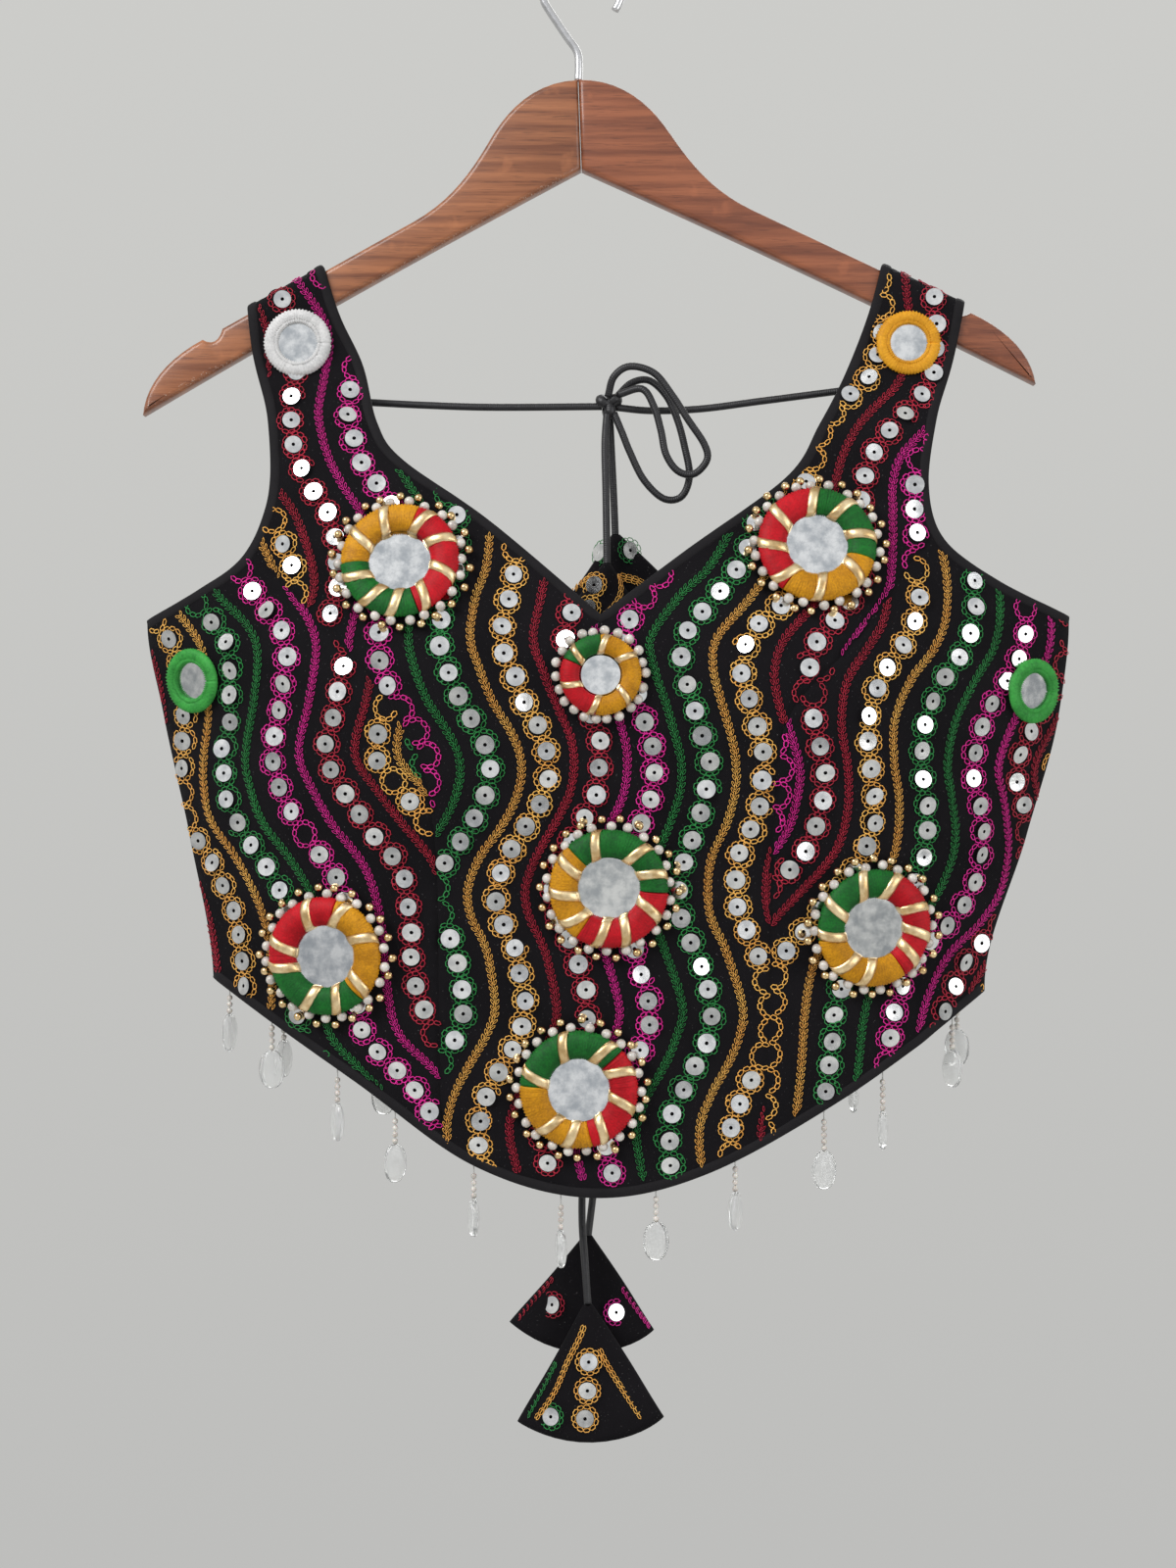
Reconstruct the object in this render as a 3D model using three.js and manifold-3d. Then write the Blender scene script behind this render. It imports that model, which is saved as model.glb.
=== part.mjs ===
// A choli blouse hanging on its wooden hanger, all in millimetres.
//
// x runs across, to the right seen from the front; the front faces -y; z is up. The origin is
// the inside of the hook, where it rests on a rail. The cloth is an even wall on the form that
// the garment hangs in, and each panel is cut from it along its own seams and edges, which are
// drawn as they are seen from the front.

import * as THREE from 'three';
import { mergeVertices } from 'three/addons/utils/BufferGeometryUtils.js';
import Module from 'manifold-3d';

const wasm = await Module();
wasm.setup();

// ---- Driving sizes ----

const FRONT = -1;
const BACK = 1;
const WALL = 2;                 // embroidered cloth with its backing
const SEAM_GAP = 0.3;           // between two pieces sewn together
const EDGE_STEP = 18;           // spacing of points along a cut edge
const BACK_OPENING = 1.5;       // between the two backs, tied edge to edge

const BINDING = { width: 5, lift: 0.9, thick: 1 };

const HANGER = { thick: 12, rounding: 3, mitreGap: 0.3, tilt: THREE.MathUtils.degToRad(2) };
const HEAD = { x: -1.9, z: -65 };                 // top of the hanger's head
const ARM_TOP = { x: 84, z: -67.5, fall: 0.515 }; // start and slope of an arm's straight top
const HOOK = { wire: 4, innerRadius: 18, bendFrom: 222, bendTo: -35, bendPoints: 11, sides: 8, steps: 22 };

const FOLD = { radius: 7.5, lift: 3.5 };          // the strap's turn over the arm

// The stretch of each arm that a strap lies on; past its ends the fold stays level.
const STRAP_REACH = { left: [-180, -115], right: [135, 205] };

// Side seams: x of the left and right seam at each height.
const SIDE_SEAM = [
  { z: -620, left: -183, right: 199 },
  { z: -515, left: -183, right: 200 },
  { z: -440, left: -195, right: 221 },
  { z: -380, left: -208, right: 237 },
  { z: -334, left: -216, right: 242 },
  { z: -150, left: -216, right: 242 },
];

// How far the front and the back stand out from the side seams' plane at each height.
const FULLNESS = [
  { z: -620, front: 34, back: 15 },
  { z: -540, front: 37, back: 17 },
  { z: -440, front: 42, back: 20 },
  { z: -365, front: 46, back: 21 },
  { z: -300, front: 36, back: 18 },
  { z: -250, front: 20, back: 10 },
  { z: -195, front: 0, back: 0 },
  { z: -150, front: 0, back: 0 },
];

const CUP = { height: 9, spread: 44, z: -370, leftX: -82, rightX: 104 };
const HEM_WAVE = { height: 2.5, length: 152, from: -470, to: -600 };
const EDGE_DEPTH = 1.15;        // from the side seams' plane to a panel's middle at the seam

// ---- Curves through a short table ----

// A smooth value of one column between the rows of a table sorted by z.
function column(rows, name) {
  const rise = (i) => (rows[i + 1][name] - rows[i][name]) / (rows[i + 1].z - rows[i].z);
  const slope = (i) => {
    if (i === 0 || i === rows.length - 1) return 0;
    const [before, after] = [rise(i - 1), rise(i)];
    return before * after <= 0 ? 0 : (2 * before * after) / (before + after);
  };
  return (z) => {
    const last = rows.length - 2;
    const i = Math.min(Math.max(rows.findIndex((row) => row.z > z) - 1, 0), last);
    const [low, high] = [rows[i], rows[i + 1]];
    const span = high.z - low.z;
    const s = THREE.MathUtils.clamp((z - low.z) / span, 0, 1);
    const ends = low[name] * (1 + 2 * s) * (1 - s) ** 2 + high[name] * s * s * (3 - 2 * s);
    return ends + span * s * (1 - s) * (slope(i) * (1 - s) - slope(i + 1) * s);
  };
}

const seamX = { left: column(SIDE_SEAM, 'left'), right: column(SIDE_SEAM, 'right') };
const fullness = { [FRONT]: column(FULLNESS, 'front'), [BACK]: column(FULLNESS, 'back') };

const at = (x, z) => new THREE.Vector2(x, z);

// Evenly spaced points on a smooth line through the given ones.
function smoothLine(points) {
  const curve = new THREE.SplineCurve(points);
  return curve.getSpacedPoints(Math.ceil(curve.getLength() / EDGE_STEP));
}

// ---- The form that the garment hangs in ----

// A point of the hanger, drawn level round its head, in its tilted place.
function tilted(x, z) {
  return at(x, z).rotateAround(at(0, 0), HANGER.tilt).add(at(HEAD.x, HEAD.z));
}

function armTopHeight(x) {
  const side = x < HEAD.x ? -1 : 1;
  const start = tilted(side * ARM_TOP.x, ARM_TOP.z);
  const slope = Math.tan(Math.atan(ARM_TOP.fall) - side * HANGER.tilt);
  return start.y - slope * side * (x - start.x);
}

// Where the cloth leaves the upright and starts to turn over the arm.
function foldStart(x) {
  const reach = x < HEAD.x ? STRAP_REACH.left : STRAP_REACH.right;
  return armTopHeight(THREE.MathUtils.clamp(x, reach[0], reach[1])) + FOLD.lift - FOLD.radius;
}

// How far in front of or behind the side seams' plane the cloth hangs.
function clothDepth(face, x, z) {
  const half = (seamX.right(z) - seamX.left(z)) / 2;
  const across = (x - seamX.left(z)) / half - 1;
  const edge = THREE.MathUtils.lerp(EDGE_DEPTH, FOLD.radius, THREE.MathUtils.smoothstep(z, -330, -195));
  const round = fullness[face](z) * (1 - across ** 4);
  const wave = HEM_WAVE.height * Math.sin((2 * Math.PI * x) / HEM_WAVE.length)
    * (1 - THREE.MathUtils.smoothstep(z, HEM_WAVE.to, HEM_WAVE.from)) * (1 - across ** 2);
  if (face === BACK) return edge + round - wave;
  const cup = (cupX) => CUP.height
    * Math.exp(-((x - cupX) ** 2 + (z - CUP.z) ** 2) / (2 * CUP.spread ** 2)) * (1 - across ** 4);
  const cups = (cup(CUP.leftX) + cup(CUP.rightX)) * (1 - THREE.MathUtils.smoothstep(z, -280, -195));
  return edge + round + wave + cups;
}

function clothPoint(face, x, t) {
  const start = foldStart(x);
  if (t <= start) return new THREE.Vector3(x, face * clothDepth(face, x, t), t);
  const turn = (t - start) / FOLD.radius;
  return new THREE.Vector3(
    x,
    face * FOLD.radius * Math.cos(turn),
    start + FOLD.radius * Math.sin(turn),
  );
}

// The cloth's unit normal on its +y side.
function clothNormal(face, x, t) {
  const step = 0.5;
  const acrossCloth = clothPoint(face, x + step, t).sub(clothPoint(face, x - step, t));
  const upCloth = clothPoint(face, x, t + step).sub(clothPoint(face, x, t - step));
  return upCloth.cross(acrossCloth).normalize();
}

// Lays flat geometry on the form: x and z are its place on the cloth, y its height off it.
function drape(geometry, face) {
  const position = geometry.attributes.position;
  for (let i = 0; i < position.count; i += 1) {
    const [x, y, t] = [position.getX(i), position.getY(i), position.getZ(i)];
    const point = clothPoint(face, x, t).addScaledVector(clothNormal(face, x, t), y);
    position.setXYZ(i, point.x, point.y, point.z);
  }
  return geometry;
}

// ---- Cutting and joining ----

function toSolid(geometry) {
  geometry.deleteAttribute('normal');
  geometry.deleteAttribute('uv');
  const merged = mergeVertices(geometry, 1e-4);
  return new wasm.Manifold(new wasm.Mesh({
    numProp: 3,
    vertProperties: new Float32Array(merged.attributes.position.array),
    triVerts: new Uint32Array(merged.index.array),
  }));
}

function toGeometry(manifold) {
  const mesh = manifold.getMesh();
  const geometry = new THREE.BufferGeometry();
  geometry.setAttribute('position', new THREE.BufferAttribute(mesh.vertProperties, 3));
  geometry.setIndex(new THREE.BufferAttribute(mesh.triVerts, 1));
  return geometry;
}

const CUT_DEPTH = 160;          // deeper than the whole garment

// A prism through the garment from front to back, which cuts it along an outline.
function cutter(points) {
  const prism = new THREE.ExtrudeGeometry(new THREE.Shape(points), { depth: CUT_DEPTH, bevelEnabled: false });
  prism.rotateX(Math.PI / 2);
  prism.translate(0, CUT_DEPTH / 2, 0);
  return toSolid(prism);
}

// Heights of an uncut sheet's rows: level ones, closer where the cloth curves in to the straps,
// then rows that follow the arm, and last those round the fold, up to the shoulder seam.
const LEVEL_ROWS = [{ from: -620, to: -320, step: 25 }, { from: -320, to: -200, step: 15 }];
const STRAP_LEVEL = -200;       // rows above it keep this level's width
const STRAP_ROWS = 2;
const FOLD_ROWS = 5;
const COLUMNS = 16;

function rowHeights(x) {
  const heights = [LEVEL_ROWS[0].from];
  for (const { from, to, step } of LEVEL_ROWS) {
    for (let z = from + step; z <= to; z += step) heights.push(z);
  }
  const start = foldStart(x);
  const seam = start + (FOLD.radius * Math.PI) / 2 - SEAM_GAP / 2;
  const level = heights.at(-1);
  for (let i = 1; i <= STRAP_ROWS; i += 1) heights.push(level + ((start - level) * i) / STRAP_ROWS);
  for (let i = 1; i <= FOLD_ROWS; i += 1) heights.push(start + ((seam - start) * i) / FOLD_ROWS);
  return heights;
}

// The uncut cloth of one face, hanging, from side seam to side seam, and from low to high off
// its middle, outwards.
function hangingCloth(face, low, high) {
  const rows = rowHeights(0).length - 1;
  const sheet = new THREE.BoxGeometry(COLUMNS, high - low, rows, COLUMNS, 1, rows);
  sheet.translate(COLUMNS / 2, (face * (low + high)) / 2, rows / 2);
  const position = sheet.attributes.position;
  for (let i = 0; i < position.count; i += 1) {
    const row = Math.round(position.getZ(i));
    const level = Math.min(rowHeights(0)[row], STRAP_LEVEL);
    const x = THREE.MathUtils.lerp(seamX.left(level), seamX.right(level), position.getX(i) / COLUMNS);
    position.setX(i, x);
    position.setZ(i, rowHeights(x)[row]);
  }
  return toSolid(drape(sheet, face));
}

// A band of the given half width along a line, mitred at its corners.
function band(line, halfWidth) {
  const sides = [1, -1].map((side) => line.map((point, i) => {
    const before = line[Math.max(i - 1, 0)];
    const after = line[Math.min(i + 1, line.length - 1)];
    const arriving = point.clone().sub(before).normalize();
    const leaving = after.clone().sub(point).normalize();
    const along = arriving.clone().add(leaving).normalize();
    const first = i === 0 ? leaving : arriving;
    const stretch = 1 / Math.max(along.dot(first), 0.5);
    return at(-along.y, along.x).multiplyScalar(side * halfWidth * stretch).add(point);
  }));
  return [...sides[0], ...sides[1].reverse()];
}

// ---- Cutting lines ----

const SHOULDER_CUT = -150;      // straps are cut past their fold, which is the highest part

const line = {
  frontNeckLeft: smoothLine([
    at(-131, SHOULDER_CUT), at(-121, -182), at(-109, -208), at(-101, -238), at(-88, -257), at(-45, -288),
    at(9, -334),
  ]),
  frontNeckRight: smoothLine([
    at(9, -334), at(50, -303), at(100, -266), at(117, -239), at(131, -212), at(143, -181),
    at(151, SHOULDER_CUT),
  ]),
  frontArmLeft: smoothLine([
    at(-167.5, SHOULDER_CUT), at(-163, -199), at(-154, -236), at(-153, -276), at(-165, -304),
    at(-188, -320), at(-216, -334),
  ]),
  frontArmRight: smoothLine([
    at(194, SHOULDER_CUT), at(184, -202), at(174, -235), at(169, -270), at(176, -296), at(204, -316),
    at(242, -332),
  ]),
  frontHem: smoothLine([
    at(-183, -511), at(-110, -559), at(-52, -600), at(3, -615), at(59, -604), at(125, -569),
    at(199, -518),
  ]),
  seamLeft: smoothLine([
    at(-164, -298), at(-125, -338), at(-84, -388), at(-71, -438), at(-69, -520), at(-68, -612),
  ]),
  seamRight: smoothLine([
    at(171, -292), at(133, -344), at(98, -385), at(92, -440), at(91, -520), at(88, -612),
  ]),
  backNeckLeft: smoothLine([
    at(-134, SHOULDER_CUT), at(-124, -190), at(-113, -225), at(-103, -264), at(-78, -310), at(-35, -345),
    at(9, -356),
  ]),
  backNeckRight: smoothLine([
    at(9, -356), at(54, -345), at(98, -310), at(124, -264), at(136, -222), at(146, -187),
    at(154, SHOULDER_CUT),
  ]),
  backArmLeft: smoothLine([
    at(-166.5, SHOULDER_CUT), at(-158, -200), at(-148, -240), at(-147, -280), at(-160, -308),
    at(-186, -325), at(-216, -334),
  ]),
  backArmRight: smoothLine([
    at(193, SHOULDER_CUT), at(181, -202), at(169, -240), at(163, -276), at(172, -302), at(202, -322),
    at(242, -332),
  ]),
  backHemLeft: smoothLine([at(-183, -511), at(-110, -543), at(-40, -564), at(9, -569)]),
  backHemRight: smoothLine([at(9, -569), at(60, -563), at(138, -545), at(199, -518)]),
};

const reversed = (points) => [...points].reverse();

// The cloth ends at its side seams, so its outlines run past them.
const OUTSIDE = { left: -280, right: 300 };
const beyond = (side, points) => points.map((point) => at(OUTSIDE[side], point.y));

const frontOutline = [
  ...beyond('left', [line.frontArmLeft.at(-1)]), ...reversed(line.frontArmLeft),
  ...line.frontNeckLeft, ...line.frontNeckRight.slice(1), ...line.frontArmRight,
  ...beyond('right', [line.frontArmRight.at(-1), line.frontHem.at(-1)]),
  ...reversed(line.frontHem), ...beyond('left', [line.frontHem[0]]),
];

const backOutline = {
  left: [
    ...beyond('left', [line.backArmLeft.at(-1)]), ...reversed(line.backArmLeft),
    ...line.backNeckLeft, ...reversed(line.backHemLeft), ...beyond('left', [line.backHemLeft[0]]),
  ],
  right: [
    ...line.backNeckRight, ...line.backArmRight,
    ...beyond('right', [line.backArmRight.at(-1), line.backHemRight.at(-1)]),
    ...reversed(line.backHemRight),
  ],
};

// ---- Materials ----

const finish = (color, roughness, metalness = 0) => ({ color, roughness, metalness });
const FINISH = {
  cloth: finish(0x17151a, 0.85),
  binding: finish(0x0c0b0e, 0.8),
  cord: finish(0x0e0d10, 0.35),
  lightWood: finish(0x9a5a34, 0.35),
  redWood: finish(0x8a4326, 0.35),
  steel: finish(0xb9b8b5, 0.25, 1),
  rosette: finish(0xc08a1c, 0.6),
  mirrorButton: finish(0xd8d4cc, 0.5),
  drop: finish(0xe6e0d2, 0.3),
};

const blouse = new THREE.Group();

function addPiece(name, geometry, look) {
  const mesh = new THREE.Mesh(geometry, new THREE.MeshStandardMaterial(look));
  mesh.name = name;
  geometry.computeVertexNormals();
  blouse.add(mesh);
}

// ---- Cloth panels ----

const wall = (face) => hangingCloth(face, -WALL / 2, WALL / 2);
const frontSheet = wall(FRONT).intersect(cutter(frontOutline));

// The seams slant, so a step across is longer than the gap square to the seam.
const SEAM_STEP = SEAM_GAP * 0.7;
const SEAM_CUT = { top: -270, bottom: -630 };

// A prism over all of the front outside a princess seam, from a step across it.
function besideSeam(seam, side, step) {
  const edge = seam.map((point) => at(point.x + side * step, point.y));
  const farX = side < 0 ? OUTSIDE.left : OUTSIDE.right;
  const outline = [
    ...edge, at(edge.at(-1).x, SEAM_CUT.bottom), at(farX, SEAM_CUT.bottom), at(farX, SEAM_CUT.top),
    at(edge[0].x, SEAM_CUT.top),
  ];
  return cutter(side > 0 ? outline : outline.reverse());
}

const frontSide = {
  left: frontSheet.intersect(besideSeam(line.seamLeft, -1, SEAM_STEP)),
  right: frontSheet.intersect(besideSeam(line.seamRight, 1, SEAM_STEP)),
};
const frontCentre = frontSheet
  .subtract(besideSeam(line.seamLeft, -1, -SEAM_STEP))
  .subtract(besideSeam(line.seamRight, 1, -SEAM_STEP));

addPiece('front_centre', toGeometry(frontCentre), FINISH.cloth);
addPiece('front_side_left', toGeometry(frontSide.left), FINISH.cloth);
addPiece('front_side_right', toGeometry(frontSide.right), FINISH.cloth);

const CENTRE_X = 9;
const centreEdge = { left: CENTRE_X - BACK_OPENING / 2, right: CENTRE_X + BACK_OPENING / 2 };
const UPRIGHT = { top: -100, bottom: -700 };      // well past the garment's top and hem

const uprightCut = (fromX, toX) => cutter([
  at(fromX, UPRIGHT.bottom), at(toX, UPRIGHT.bottom), at(toX, UPRIGHT.top), at(fromX, UPRIGHT.top),
]);
const halfOf = {
  left: uprightCut(OUTSIDE.left, centreEdge.left),
  right: uprightCut(centreEdge.right, OUTSIDE.right),
};
for (const side of ['left', 'right']) {
  const panel = wall(BACK).intersect(cutter(backOutline[side])).intersect(halfOf[side]);
  addPiece(`back_${side}`, toGeometry(panel), FINISH.cloth);
}

// ---- Bias bindings: strips on the outside of the cut edges ----

const bindingLayer = (face) => {
  const low = WALL / 2 + BINDING.lift;
  return hangingCloth(face, low, low + BINDING.thick);
};
const frontBindingCloth = bindingLayer(FRONT).intersect(cutter(frontOutline));
const backBindingCloth = {
  left: bindingLayer(BACK).intersect(cutter(backOutline.left)).intersect(halfOf.left),
  right: bindingLayer(BACK).intersect(cutter(backOutline.right)).intersect(halfOf.right),
};
const backNeckLow = line.backNeckLeft.at(-1).y;
const backHemLow = line.backHemLeft.at(-1).y;
const openingEdge = {
  left: [at(centreEdge.left, backNeckLow), at(centreEdge.left, backHemLow)],
  right: [at(centreEdge.right, backHemLow), at(centreEdge.right, backNeckLow)],
};
const backEdge = {
  left: [...line.backNeckLeft.slice(0, -1), ...openingEdge.left, ...reversed(line.backHemLeft).slice(1)],
  right: [...reversed(line.backHemRight).slice(0, -1), ...openingEdge.right, ...line.backNeckRight.slice(1)],
};
const BINDINGS = [
  { name: 'neck_front', cloth: frontBindingCloth,
    edge: [...line.frontNeckLeft, ...line.frontNeckRight.slice(1)] },
  { name: 'armhole_front_left', cloth: frontBindingCloth, edge: line.frontArmLeft },
  { name: 'armhole_front_right', cloth: frontBindingCloth, edge: line.frontArmRight },
  { name: 'hem_front', cloth: frontBindingCloth, edge: line.frontHem },
  { name: 'armhole_back_left', cloth: backBindingCloth.left, edge: line.backArmLeft },
  { name: 'armhole_back_right', cloth: backBindingCloth.right, edge: line.backArmRight },
  { name: 'back_left', cloth: backBindingCloth.left, edge: backEdge.left },
  { name: 'back_right', cloth: backBindingCloth.right, edge: backEdge.right },
];
for (const { name, cloth, edge } of BINDINGS) {
  const strip = cloth.intersect(cutter(band(edge, BINDING.width)));
  addPiece(`binding_${name}`, toGeometry(strip), FINISH.binding);
}

// ---- Rosettes and mirror buttons: rings round a mirror, sewn flat on the front ----

// Half sections, radius by height off the cloth's middle, up from the underside.
const ROSETTE_SECTION = [
  { radius: 0, off: 1.5 }, { radius: 13, off: 1.5 }, { radius: 24, off: 1.5 },
  { radius: 28, off: 3 }, { radius: 33, off: 3 }, { radius: 33, off: 5.5 },
  { radius: 28.5, off: 6 }, { radius: 24, off: 8.5 }, { radius: 18, off: 8.5 },
  { radius: 15.5, off: 6 }, { radius: 0, off: 6 },
];
const BUTTON_SECTION = [
  { radius: 0, off: 1.5 }, { radius: 15, off: 1.5 }, { radius: 16, off: 3.5 },
  { radius: 13.5, off: 5 }, { radius: 10.5, off: 4 }, { radius: 0, off: 4 },
];
const ROSETTES = [
  { name: 'bust_left', x: -87, z: -309, size: 1 },
  { name: 'bust_right', x: 113, z: -301, size: 1 },
  { name: 'centre_small', x: 9, z: -363, size: 0.68 },
  { name: 'middle', x: 13, z: -465, size: 1 },
  { name: 'side_left', x: -123, z: -498, size: 1 },
  { name: 'side_right', x: 140, z: -484, size: 1 },
  { name: 'hem', x: -1, z: -562, size: 1 },
];
const BUTTONS = [
  { name: 'strap_left', x: -140.5, z: -197, size: 1 },
  { name: 'strap_right', x: 161.5, z: -197, size: 0.95 },
  { name: 'side_left', x: -190, z: -364, size: 0.95 },
  { name: 'side_right', x: 221, z: -369, size: 0.95 },
];

// A ring of the given half section, lying on the front.
function onFront(section, { x, z, size }, sides) {
  const profile = section.map(({ radius, off }) => new THREE.Vector2(radius * size, -off));
  const ring = new THREE.LatheGeometry(profile.reverse(), sides);
  ring.translate(x, 0, z);
  return drape(ring, FRONT);
}

const ROSETTE_SIDES = 14;
const BUTTON_SIDES = 12;
for (const rosette of ROSETTES) {
  addPiece(`rosette_${rosette.name}`, onFront(ROSETTE_SECTION, rosette, ROSETTE_SIDES), FINISH.rosette);
}
for (const button of BUTTONS) {
  const disc = onFront(BUTTON_SECTION, button, BUTTON_SIDES);
  addPiece(`mirror_button_${button.name}`, disc, FINISH.mirrorButton);
}

// ---- Hem drops: a thread with small beads and a shell, sewn behind the hem ----

const DROP = {
  thread: 0.7, threadTop: 3, sides: 6,            // the thread's radius, and its end above the hem
  bead: 1.5, beadHalf: 1.5, beadStep: 3.2, beadGap: 0.8,
  shellHeight: 19, shellWidth: 11.5, shellDepth: 7,
  behind: 2.2,                                    // from the cloth's inside to the thread
};

// The shell's outline from its top, as shares of its half width and half height.
const SHELL_OUTLINE = [
  { wide: 0.5, high: 0.92 }, { wide: 0.92, high: 0.5 }, { wide: 1, high: -0.1 },
  { wide: 0.75, high: -0.7 }, { wide: 0, high: -1 },
];

// reach: from the hem to the middle of the shell; turn: about the thread, in degrees.
const FRONT_DROPS = [
  { x: -177, reach: 17, turn: 70 }, { x: -154, reach: 19, turn: 5 }, { x: -120, reach: 21, turn: -65 },
  { x: -91, reach: 20, turn: 35 }, { x: -52.5, reach: 20, turn: 85 }, { x: -10.5, reach: 21, turn: -80 },
  { x: 36, reach: 19, turn: 0 }, { x: 75, reach: 19, turn: 65 }, { x: 118.5, reach: 24, turn: 15 },
  { x: 148, reach: 24, turn: 85 }, { x: 185, reach: 21.5, turn: -50 },
];
const BACK_DROPS = [
  { x: -150, reach: 20, turn: 60 }, { x: -100, reach: 19, turn: 10 }, { x: -48, reach: 21, turn: -70 },
  { x: 52, reach: 20, turn: 30 }, { x: 137, reach: 19, turn: 80 }, { x: 188, reach: 17, turn: -20 },
];

function hemHeight(hem, x) {
  const next = Math.max(hem.findIndex((point) => point.x > x), 1);
  const [a, b] = [hem[next - 1], hem[next]];
  return THREE.MathUtils.mapLinear(x, a.x, b.x, a.y, b.y);
}

function dropGeometry({ reach, turn }) {
  const halfHeight = DROP.shellHeight / 2;
  const shellTop = -reach + halfHeight;
  const profile = [at(0, DROP.threadTop), at(DROP.thread, DROP.threadTop)];
  const beads = Math.floor((-shellTop - DROP.beadHalf) / DROP.beadStep);
  for (let i = beads - 1; i >= 0; i -= 1) {
    const middle = shellTop + DROP.beadGap + (i + 0.5) * DROP.beadStep;
    profile.push(at(DROP.thread, middle + DROP.beadHalf));
    profile.push(at(DROP.bead, middle));
    profile.push(at(DROP.thread, middle - DROP.beadHalf));
  }
  for (const { wide, high } of SHELL_OUTLINE) {
    profile.push(at((DROP.shellWidth / 2) * wide, -reach + halfHeight * high));
  }
  const drop = new THREE.LatheGeometry(profile.reverse(), DROP.sides);
  drop.rotateX(Math.PI / 2);
  const position = drop.attributes.position;
  for (let i = 0; i < position.count; i += 1) {
    const inShell = position.getZ(i) < shellTop;
    if (inShell) position.setY(i, (position.getY(i) * DROP.shellDepth) / DROP.shellWidth);
  }
  drop.rotateZ(THREE.MathUtils.degToRad(turn));
  return drop;
}

function addDrops(label, drops, face, hem) {
  drops.forEach((drop, i) => {
    const z = hemHeight(hem, drop.x);
    const behind = clothPoint(face, drop.x, z)
      .addScaledVector(clothNormal(face, drop.x, z), -face * (WALL / 2 + DROP.behind));
    const geometry = dropGeometry(drop).translate(behind.x, behind.y, z);
    addPiece(`drop_${label}_${i + 1}`, geometry, FINISH.drop);
  });
}

addDrops('front', FRONT_DROPS, FRONT, line.frontHem);
addDrops('back', BACK_DROPS, BACK, [...line.backHemLeft, ...line.backHemRight.slice(1)]);

// ---- Ties: satin cords, each stretch a piece of its own ----

const CORD = { diameter: 3.7, sides: 8, step: 10.7 };
const KNOT = { halfWidth: 5.5, halfDepth: 4.5, halfHeight: 6, sides: 10, rings: 6 };
const room = (x, y, z) => new THREE.Vector3(x, y, z);

function roundSection(radius, sides) {
  const circle = new THREE.EllipseCurve(0, 0, radius, radius);
  return new THREE.Shape(circle.getPoints(sides).slice(0, -1));
}

function cordGeometry(points) {
  const path = new THREE.CatmullRomCurve3(points);
  const steps = Math.ceil(path.getLength() / CORD.step);
  const section = roundSection(CORD.diameter / 2, CORD.sides);
  return new THREE.ExtrudeGeometry(section, { extrudePath: path, steps, bevelEnabled: false });
}

const UPPER_KNOT = room(13.5, 13, -224);
const LOWER_KNOT = room(9, 25, -556);
const CORDS = {
  tie_upper_left: [room(-111, 11, -223), room(-80, 11.5, -224.5), room(-45, 12, -225.5), room(7, 13, -225)],
  tie_upper_right: [
    room(19.5, 14.5, -225.5), room(35, 17, -226.5), room(60, 17.5, -225.5), room(90, 15, -222),
    room(133, 11, -217),
  ],
  tie_loop_front: [
    room(13, 8, -218.5), room(16, 6, -211), room(24, 5, -206), room(36, 4, -209.5), room(45, 3.5, -220.5),
    room(53, 3, -233), room(61, 3, -245), room(62.5, 3.5, -253), room(56, 4, -260), room(48, 4.5, -258.5),
    room(42, 5, -250), room(39.5, 5.5, -238), room(36, 6, -226), room(30, 7, -217), room(21, 9, -217.5),
  ],
  tie_loop_back: [
    room(17.5, 10.5, -230.5), room(20, 11, -238), room(24, 11, -248), room(31, 11, -262),
    room(41, 11, -271.5), room(50, 11, -270.5), room(54, 11, -260), room(51.5, 11.5, -245),
    room(48, 11.5, -232), room(42.5, 11.5, -220), room(34, 12.5, -212), room(25, 13.5, -213),
    room(19, 14, -218.5),
  ],
  tie_strand_front: [room(12, 10, -230.5), room(11.5, 8, -245), room(12, 5, -270), room(12.5, 1, -303)],
  tie_strand_back: [room(14, 15, -230.5), room(15, 16, -250), room(16, 17, -270), room(16.8, 17, -287)],
  tie_lower_front: [
    room(6.5, 25, -562.5), room(3, 25, -580), room(0.5, 23, -610), room(0, 17, -635), room(1.5, 10, -656),
    room(2.9, 8, -673),
  ],
  tie_lower_back: [room(11, 26, -562.5), room(8, 27.5, -585), room(6.5, 28, -615), room(3, 28, -642.5)],
};
for (const [name, points] of Object.entries(CORDS)) addPiece(name, cordGeometry(points), FINISH.cord);

function addKnot(name, place) {
  const knot = new THREE.SphereGeometry(1, KNOT.sides, KNOT.rings);
  knot.scale(KNOT.halfWidth, KNOT.halfDepth, KNOT.halfHeight).translate(place.x, place.y, place.z);
  addPiece(name, knot, FINISH.cord);
}

addKnot('tie_upper_knot', UPPER_KNOT);
addKnot('tie_lower_knot', LOWER_KNOT);

// ---- Latkans: a sector of cloth rolled into a flat cone, open below ----

const LATKAN_WALL = 1.5;
const LATKAN_SIDES = 12;
const LATKAN_DEPTH = { apex: 2, growth: 0.12, most: 7 };  // half the flat cone's depth

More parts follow.
